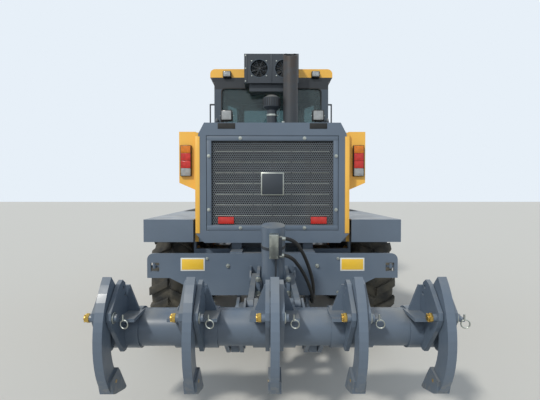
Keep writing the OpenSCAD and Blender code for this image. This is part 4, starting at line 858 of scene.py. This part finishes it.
mirror_silver = clouded("mirror silver", (3.0, 0.3, 0.7), "#C9D2D6", "#BFC9CE",
                        {"Roughness": 0.03, "Metallic": 1.0})[0]
place("mirror_glass", bm, mirror_silver)

seal_width, seal_proud = 0.014, 0.006
cab_side, window_top = 0.8005, 3.14


def side_plane(side, x):
    """Lays a drawing in X and Y on a plane that faces a side, its X forward and its Y up."""
    turn = Matrix(((0, 0, side, 0), (1, 0, 0, 0), (0, 1, 0, 0), (0, 0, 0, 1)))
    return Matrix.Translation(spot(x, 0, 0)) @ turn


def add_pane_seal(bm, x0, x1, z0, z1, radius, turn):
    """A rubber profile round a window's edge, drawn in X and Y of its own plane."""
    outline = []
    for cx, cz, begin in ((x1 - radius, z1 - radius, 0), (x0 + radius, z1 - radius, 90),
                          (x0 + radius, z0 + radius, 180), (x1 - radius, z0 + radius, 270)):
        for part in range(7):
            angle = math.radians(begin + part * 15)
            outline.append((cx + radius * math.cos(angle), cz + radius * math.sin(angle), angle))
    rings = []
    for x, z, angle in outline:
        ring = []
        for out, lift in ((0, 0), (0, seal_proud), (-seal_width, seal_proud), (-seal_width, 0)):
            corner = Vector((x + out * math.cos(angle), z + out * math.sin(angle), lift))
            ring.append(bm.verts.new(turn @ corner))
        rings.append([bm.edges.new((ring[k], ring[(k + 1) % 4])) for k in range(4)])
    for a, b in zip(rings, rings[1:] + rings[:1]):
        bmesh.ops.bridge_loops(bm, edges=a + b)


add_pane_seal(bm, -0.705, 0.705, 2.17, window_top, 0.06, at(spot(0, -0.0005, 0), 90))
add_pane_seal(bm, -0.485, 0.485, 1.61, window_top, 0.06,
              at(spot(0, 1.4805, 0), -90) @ Matrix.Diagonal((1, -1, 1, 1)))
for side in sides:
    add_pane_seal(bm, 0.085, 0.255, 1.87, window_top, 0.04, side_plane(side, side * cab_side))
place("window_seals", bm, plastic)
for side, hand in hands:
    for low, high in ((2.07, window_top), (1.62, 1.99)):
        add_pane_seal(bm, 0.4, 0.915, low, high, 0.05, side_plane(side, side * cab_side))
    add_bar(bm, side * 0.8235, 0.94, (2.06, 2.13), 0.011, sides=16, bevel=0.003)
    place("door_seals_" + hand, bm, plastic, "cab_door_" + hand)
for x, y, way, foot in ((0.0, -0.012, -1, 2.15), (-0.15, 1.492, 1, 1.59), (0.25, 1.492, 1, 1.59)):
    add_bar(bm, x, (y - way * 0.014, y + way * 0.008), foot, 0.016, sides=20, bevel=0.002)
    tip = spot(x + 0.3, y + way * 0.004, foot + 0.44)
    add_rod(bm, spot(x, y + way * 0.006, foot), tip, 0.005, sides=10)
    add_rod(bm, tip - Vector((0.1, 0, 0.2)), tip + Vector((0.06, 0, 0.16)), 0.006, sides=10)
place("wipers", bm, plastic)


# ENGINE BAY
# Behind the grille stands a finned aluminium radiator core in its shroud. The diesel in front
# of it has a cast rocker cover, spin-on filters, a starter motor and bolted-on manifolds.
fins, tree, shader = clouded("radiator fins", (8.0, 0.3, 0.7), "#3A3E42", "#2A2D31",
                             {"Metallic": 0.7, "Roughness": 0.45})
connect(tree, bumped(tree, waves(tree, 60.0, "Z"), 0.8, 0.002), shader.inputs["Normal"])
add_slab(bm, 0, 0.35, (-1.374, -1.368), (1.18, 2.12), 0.0)
place("radiator_core", bm, fins)
for side in sides:
    add_slab(bm, side * 0.505, 0.155, (-1.378, -1.371), (1.22, 2.24), 0.0)
for heights in ((1.182, 1.22), (2.118, 2.24)):
    add_slab(bm, 0, 0.35, (-1.3785, -1.3715), heights, 0.0)
place("radiator_shroud", bm, plastic)
add_slab(bm, 0, 0.15, (-1.08, -0.3), (1.948, 2.03), 0.02)
for index in range(6):
    y = -1.01 + index * 0.128
    add_bar(bm, 0, y, (2.028, 2.04), 0.016, sides=16, bevel=0.002)
for side in sides:
    x = side * 0.345
    for index in range(3):
        y = -0.98 + index * 0.13
        add_bar(bm, x, y, (1.4, 1.6), 0.045, sides=32, bevel=0.008)
        add_bar(bm, x, y, (1.6, 1.63), 0.05, sides=32, bevel=0.004)
    add_slab(bm, x, 0.05, (-1.04, -0.66), (1.628, 1.67), 0.008)
    add_bar(bm, x, (-0.45, -0.28), 1.45, 0.06, sides=32, bevel=0.006)
    add_slab(bm, side * 0.322, 0.03, (-0.48, -0.25), (1.42, 1.48), 0.006)
    for index in range(4):
        y = -0.95 + index * 0.18
        add_rod(bm, spot(side * 0.295, y, 1.82), spot(side * 0.355, y, 1.86), 0.026, sides=20)
    add_bar(bm, side * 0.355, (-1.02, -0.34), 1.865, 0.034, bevel=0.004)
place("engine_fittings", bm, paint("engine paint", "#5E625F", 0.55, 0.3, 0.3))


# CAB STEP RAILS AND PLATFORMS
# Tube grab rails stand off the cab's front posts, and the steps and fenders carry gritted
# black pads where the driver treads.
for side in sides:
    top, foot = spot(side * 0.848, 1.012, 2.52), spot(side * 0.848, 1.012, 1.64)
    add_rod(bm, foot, top, 0.013, sides=16)
    for end in (foot, top):
        add_ball(bm, end, 0.013)
        add_rod(bm, end, end + Vector((-side * 0.054, -0.02, 0)), 0.013, sides=16)
place("cab_grab_rails", bm, charcoal)
for side in sides:
    for z in (0.6, 0.87, 1.14):
        add_slab(bm, side * 0.988, 0.135, (1.48, 1.575), (z - 0.001, z + 0.002), 0.0006)
    for low_y, high_y in ((0.2, 0.9), (0.96, 1.48)):
        add_slab(bm, side * 1.08, 0.19, (low_y, high_y), (1.399, 1.402), 0.0006)
place("tread_pads", bm, rubber("gritted pad", "#26282A", 0.25))


# RUNNING GEAR BOLTS AND HINGE
# Rings of zinc bolts close the tandems' pivots and the articulation hinge under its round
# cap. Larger ones hold the boom's side plates and the front axle's bolster.
hinge_y = 1.98
for side in sides:
    for y, z in around(16, 0.19):
        add_bolt(bm, spot(side * 0.792, y, axle_height + z), (side, 0, 0), 0.022)
for x, y in around(8, 0.115, 22.5):
    add_bolt(bm, spot(x, hinge_y + y, 1.265), up, 0.022)
place("chassis_bolts", bm, zinc)
add_bar(bm, 0, hinge_y, (1.284, 1.29), 0.06, sides=32, bevel=0.002)
for side in sides:
    add_bolt(bm, spot(side * 0.033, hinge_y, 1.29), up, 0.018)
    for y in (3.56, 3.78):
        for z in (1.64, 1.76, 1.88):
            add_bolt(bm, spot(side * 0.2, y, z), (side, 0, 0), 0.026)
    for z in (0.79, 0.92):
        for x in (0.08, 0.17):
            add_bolt(bm, spot(side * x, 6.28, z), rearward, 0.022)
place("front_frame_bolts", bm, zinc, "front_frame")


# BOOM PIPES AND HEAD LAMPS
# Bent steel pipes in clamps feed the blade's cylinders from under the boom. The head lamps
# sit on a bar across the nose, and a loose pin with a ring waits in the tow ears.
for x in (-0.11, -0.07, 0.07, 0.11):
    run = ((2.96, 1.545), (3.02, 1.5185), (5.42, 1.5185), (5.5, 1.545))
    add_pipe(bm, [spot(x, y, z) for y, z in run], 0.009, 12)
place("boom_pipes", bm, zinc, "front_frame")
for y in (3.1, 3.45, 3.9, 4.3, 4.7, 5.1, 5.38):
    for x in (-0.09, 0.09):
        add_slab(bm, x, 0.034, (y - 0.015, y + 0.015), (1.509, 1.562), 0.003)
for side in sides:
    add_slab(bm, side * 0.39, 0.061, (6.33, 6.411), (1.299, 1.421), 0.006)
place("boom_clamps_and_lamp_cases", bm, plastic, "front_frame")
for side in sides:
    add_slab(bm, side * 0.39, 0.052, (6.405, 6.414), (1.308, 1.412), 0.004)
place("head_lamp_lenses", bm, clear_lens, "front_frame")
tow_y = 7.112
add_bar(bm, 0, tow_y, (0.7, 0.874), 0.0195, bevel=0.003)
add_bar(bm, 0, tow_y, (0.874, 0.886), 0.03, bevel=0.003)
add_wire_ring(bm, 0.022, 0.004, spot(0, tow_y, 0.905), (1, 0, 0), 28)
place("tow_pin", bm, zinc, "front_frame")


# BLADE EDGES AND CYLINDERS
# The moldboard wears on bolted edges of hard steel and side plates, polished by the ground.
# Its lift cylinders have gland nuts, feed pipes and clamp bands. The circle's drive is bolted
# down by a ring of bolts, and cross pins hold the ripper's teeth.
circle_middle, blade_half = 3.63, 1.83
edge_frame = (Matrix.Translation(spot(0, circle_middle - 0.3536, 0.3249)) @
              Matrix.Rotation(math.atan2(-64.9, 95.6), 4, "X"))


def add_plate(bm, outline, depth, turn, bevel):
    """A flat outline drawn in X and Y, thickened along Z, then turned into place."""
    verts = [bm.verts.new(turn @ Vector((x, y, 0))) for x, y in outline]
    face = bm.faces.new(verts)
    made = bmesh.ops.extrude_face_region(bm, geom=[face], use_keep_orig=True)
    top = [item for item in made["geom"] if isinstance(item, bmesh.types.BMVert)]
    bmesh.ops.translate(bm, verts=top, vec=turn.to_3x3() @ Vector((0, 0, depth)))
    round_edges(bm, list({edge for vert in verts + top for edge in vert.link_edges}), bevel)


def on_curve(radius, angle):
    """A point on the moldboard's curve, as place along the machine and height."""
    angle = math.radians(angle)
    return circle_middle - 0.03 + radius * math.cos(angle), 0.56 + radius * math.sin(angle)


edge_plates, edge_bolts = bmesh.new(), bmesh.new()
for side in sides:
    ends = sorted((side * 0.002, side * (blade_half + 0.001)))
    add_block(edge_plates, (ends[0], 0.003, -0.002), (ends[1], 0.1125, 0.012), 0.002, edge_frame)
    outline = [on_curve(radius, angle) for radius, angles in ((0.345, (152, 165, 180, 195, 208, 214)),
                                                              (0.424, (214, 205, 195, 180, 165, 150)))
               for angle in angles]
    add_plate(edge_plates, outline, 0.01, side_plane(1, side * (blade_half - 0.004) - 0.005), 0.0015)
    for index in range(12):
        middle = edge_frame @ Vector((side * (0.076 + index * 0.152), 0.045, 0.012))
        proud = edge_frame.to_3x3() @ Vector((0, 0, 0.004))
        add_rod(edge_bolts, middle, middle + proud, 0.013, sides=20, bevel=0.001)
    for angle in (158, 180, 202):
        ends = [spot(side * (blade_half - deep), *on_curve(0.378, angle)) for deep in (0.009, 0.013)]
        add_rod(edge_bolts, *ends, 0.014, sides=20, bevel=0.001)
place("blade_edges", edge_plates, bare_metal("worn edge steel", "#7C7872", 0.42), "blade")
place("blade_edge_bolts", edge_bolts, zinc, "blade")
ports = bmesh.new()
for side in sides:
    x, y = side * 0.52, 3.67
    add_turned(ports, [(0.0315, -0.014), (0.06, -0.014), (0.064, -0.01), (0.064, 0.0), (0.0315, 0.0),
                       (0.0315, -0.014)], spot(x, y, 1.56), up)
    add_bar(ports, x, 3.738, (2.75, 1.6), 0.008, sides=12)
    add_bar(ports, x, (3.73, 3.745), 2.76, 0.016, sides=6)
    for z in (2.3, 2.65):
        add_turned(bm, band(0.0655, 0.069, -0.009, 0.009), spot(x, y, z), up)
    add_turned(bm, [(0.0, 0.004), (0.03, 0.004), (0.034, 0.0), (0.034, -0.003), (0.0, -0.003)],
               spot(x, y, 2.83), up)
place("lift_cylinder_ports", ports, zinc, "lift_barrels")
place("lift_cylinder_bands", bm, charcoal, "lift_barrels")
for x, y in around(8, 0.072):
    add_bolt(bm, spot(x, circle_middle + 0.51 + y, 1.209), up, 0.014)
place("circle_drive_bolts", bm, zinc, "drawbar")
for x in shank_places:
    add_bar(bm, (x - 0.0435, x + 0.0435), -3.045, 0.458, 0.011, sides=20, bevel=0.001)
place("tooth_pins", bm, gold_zinc, "ripper_carriage")
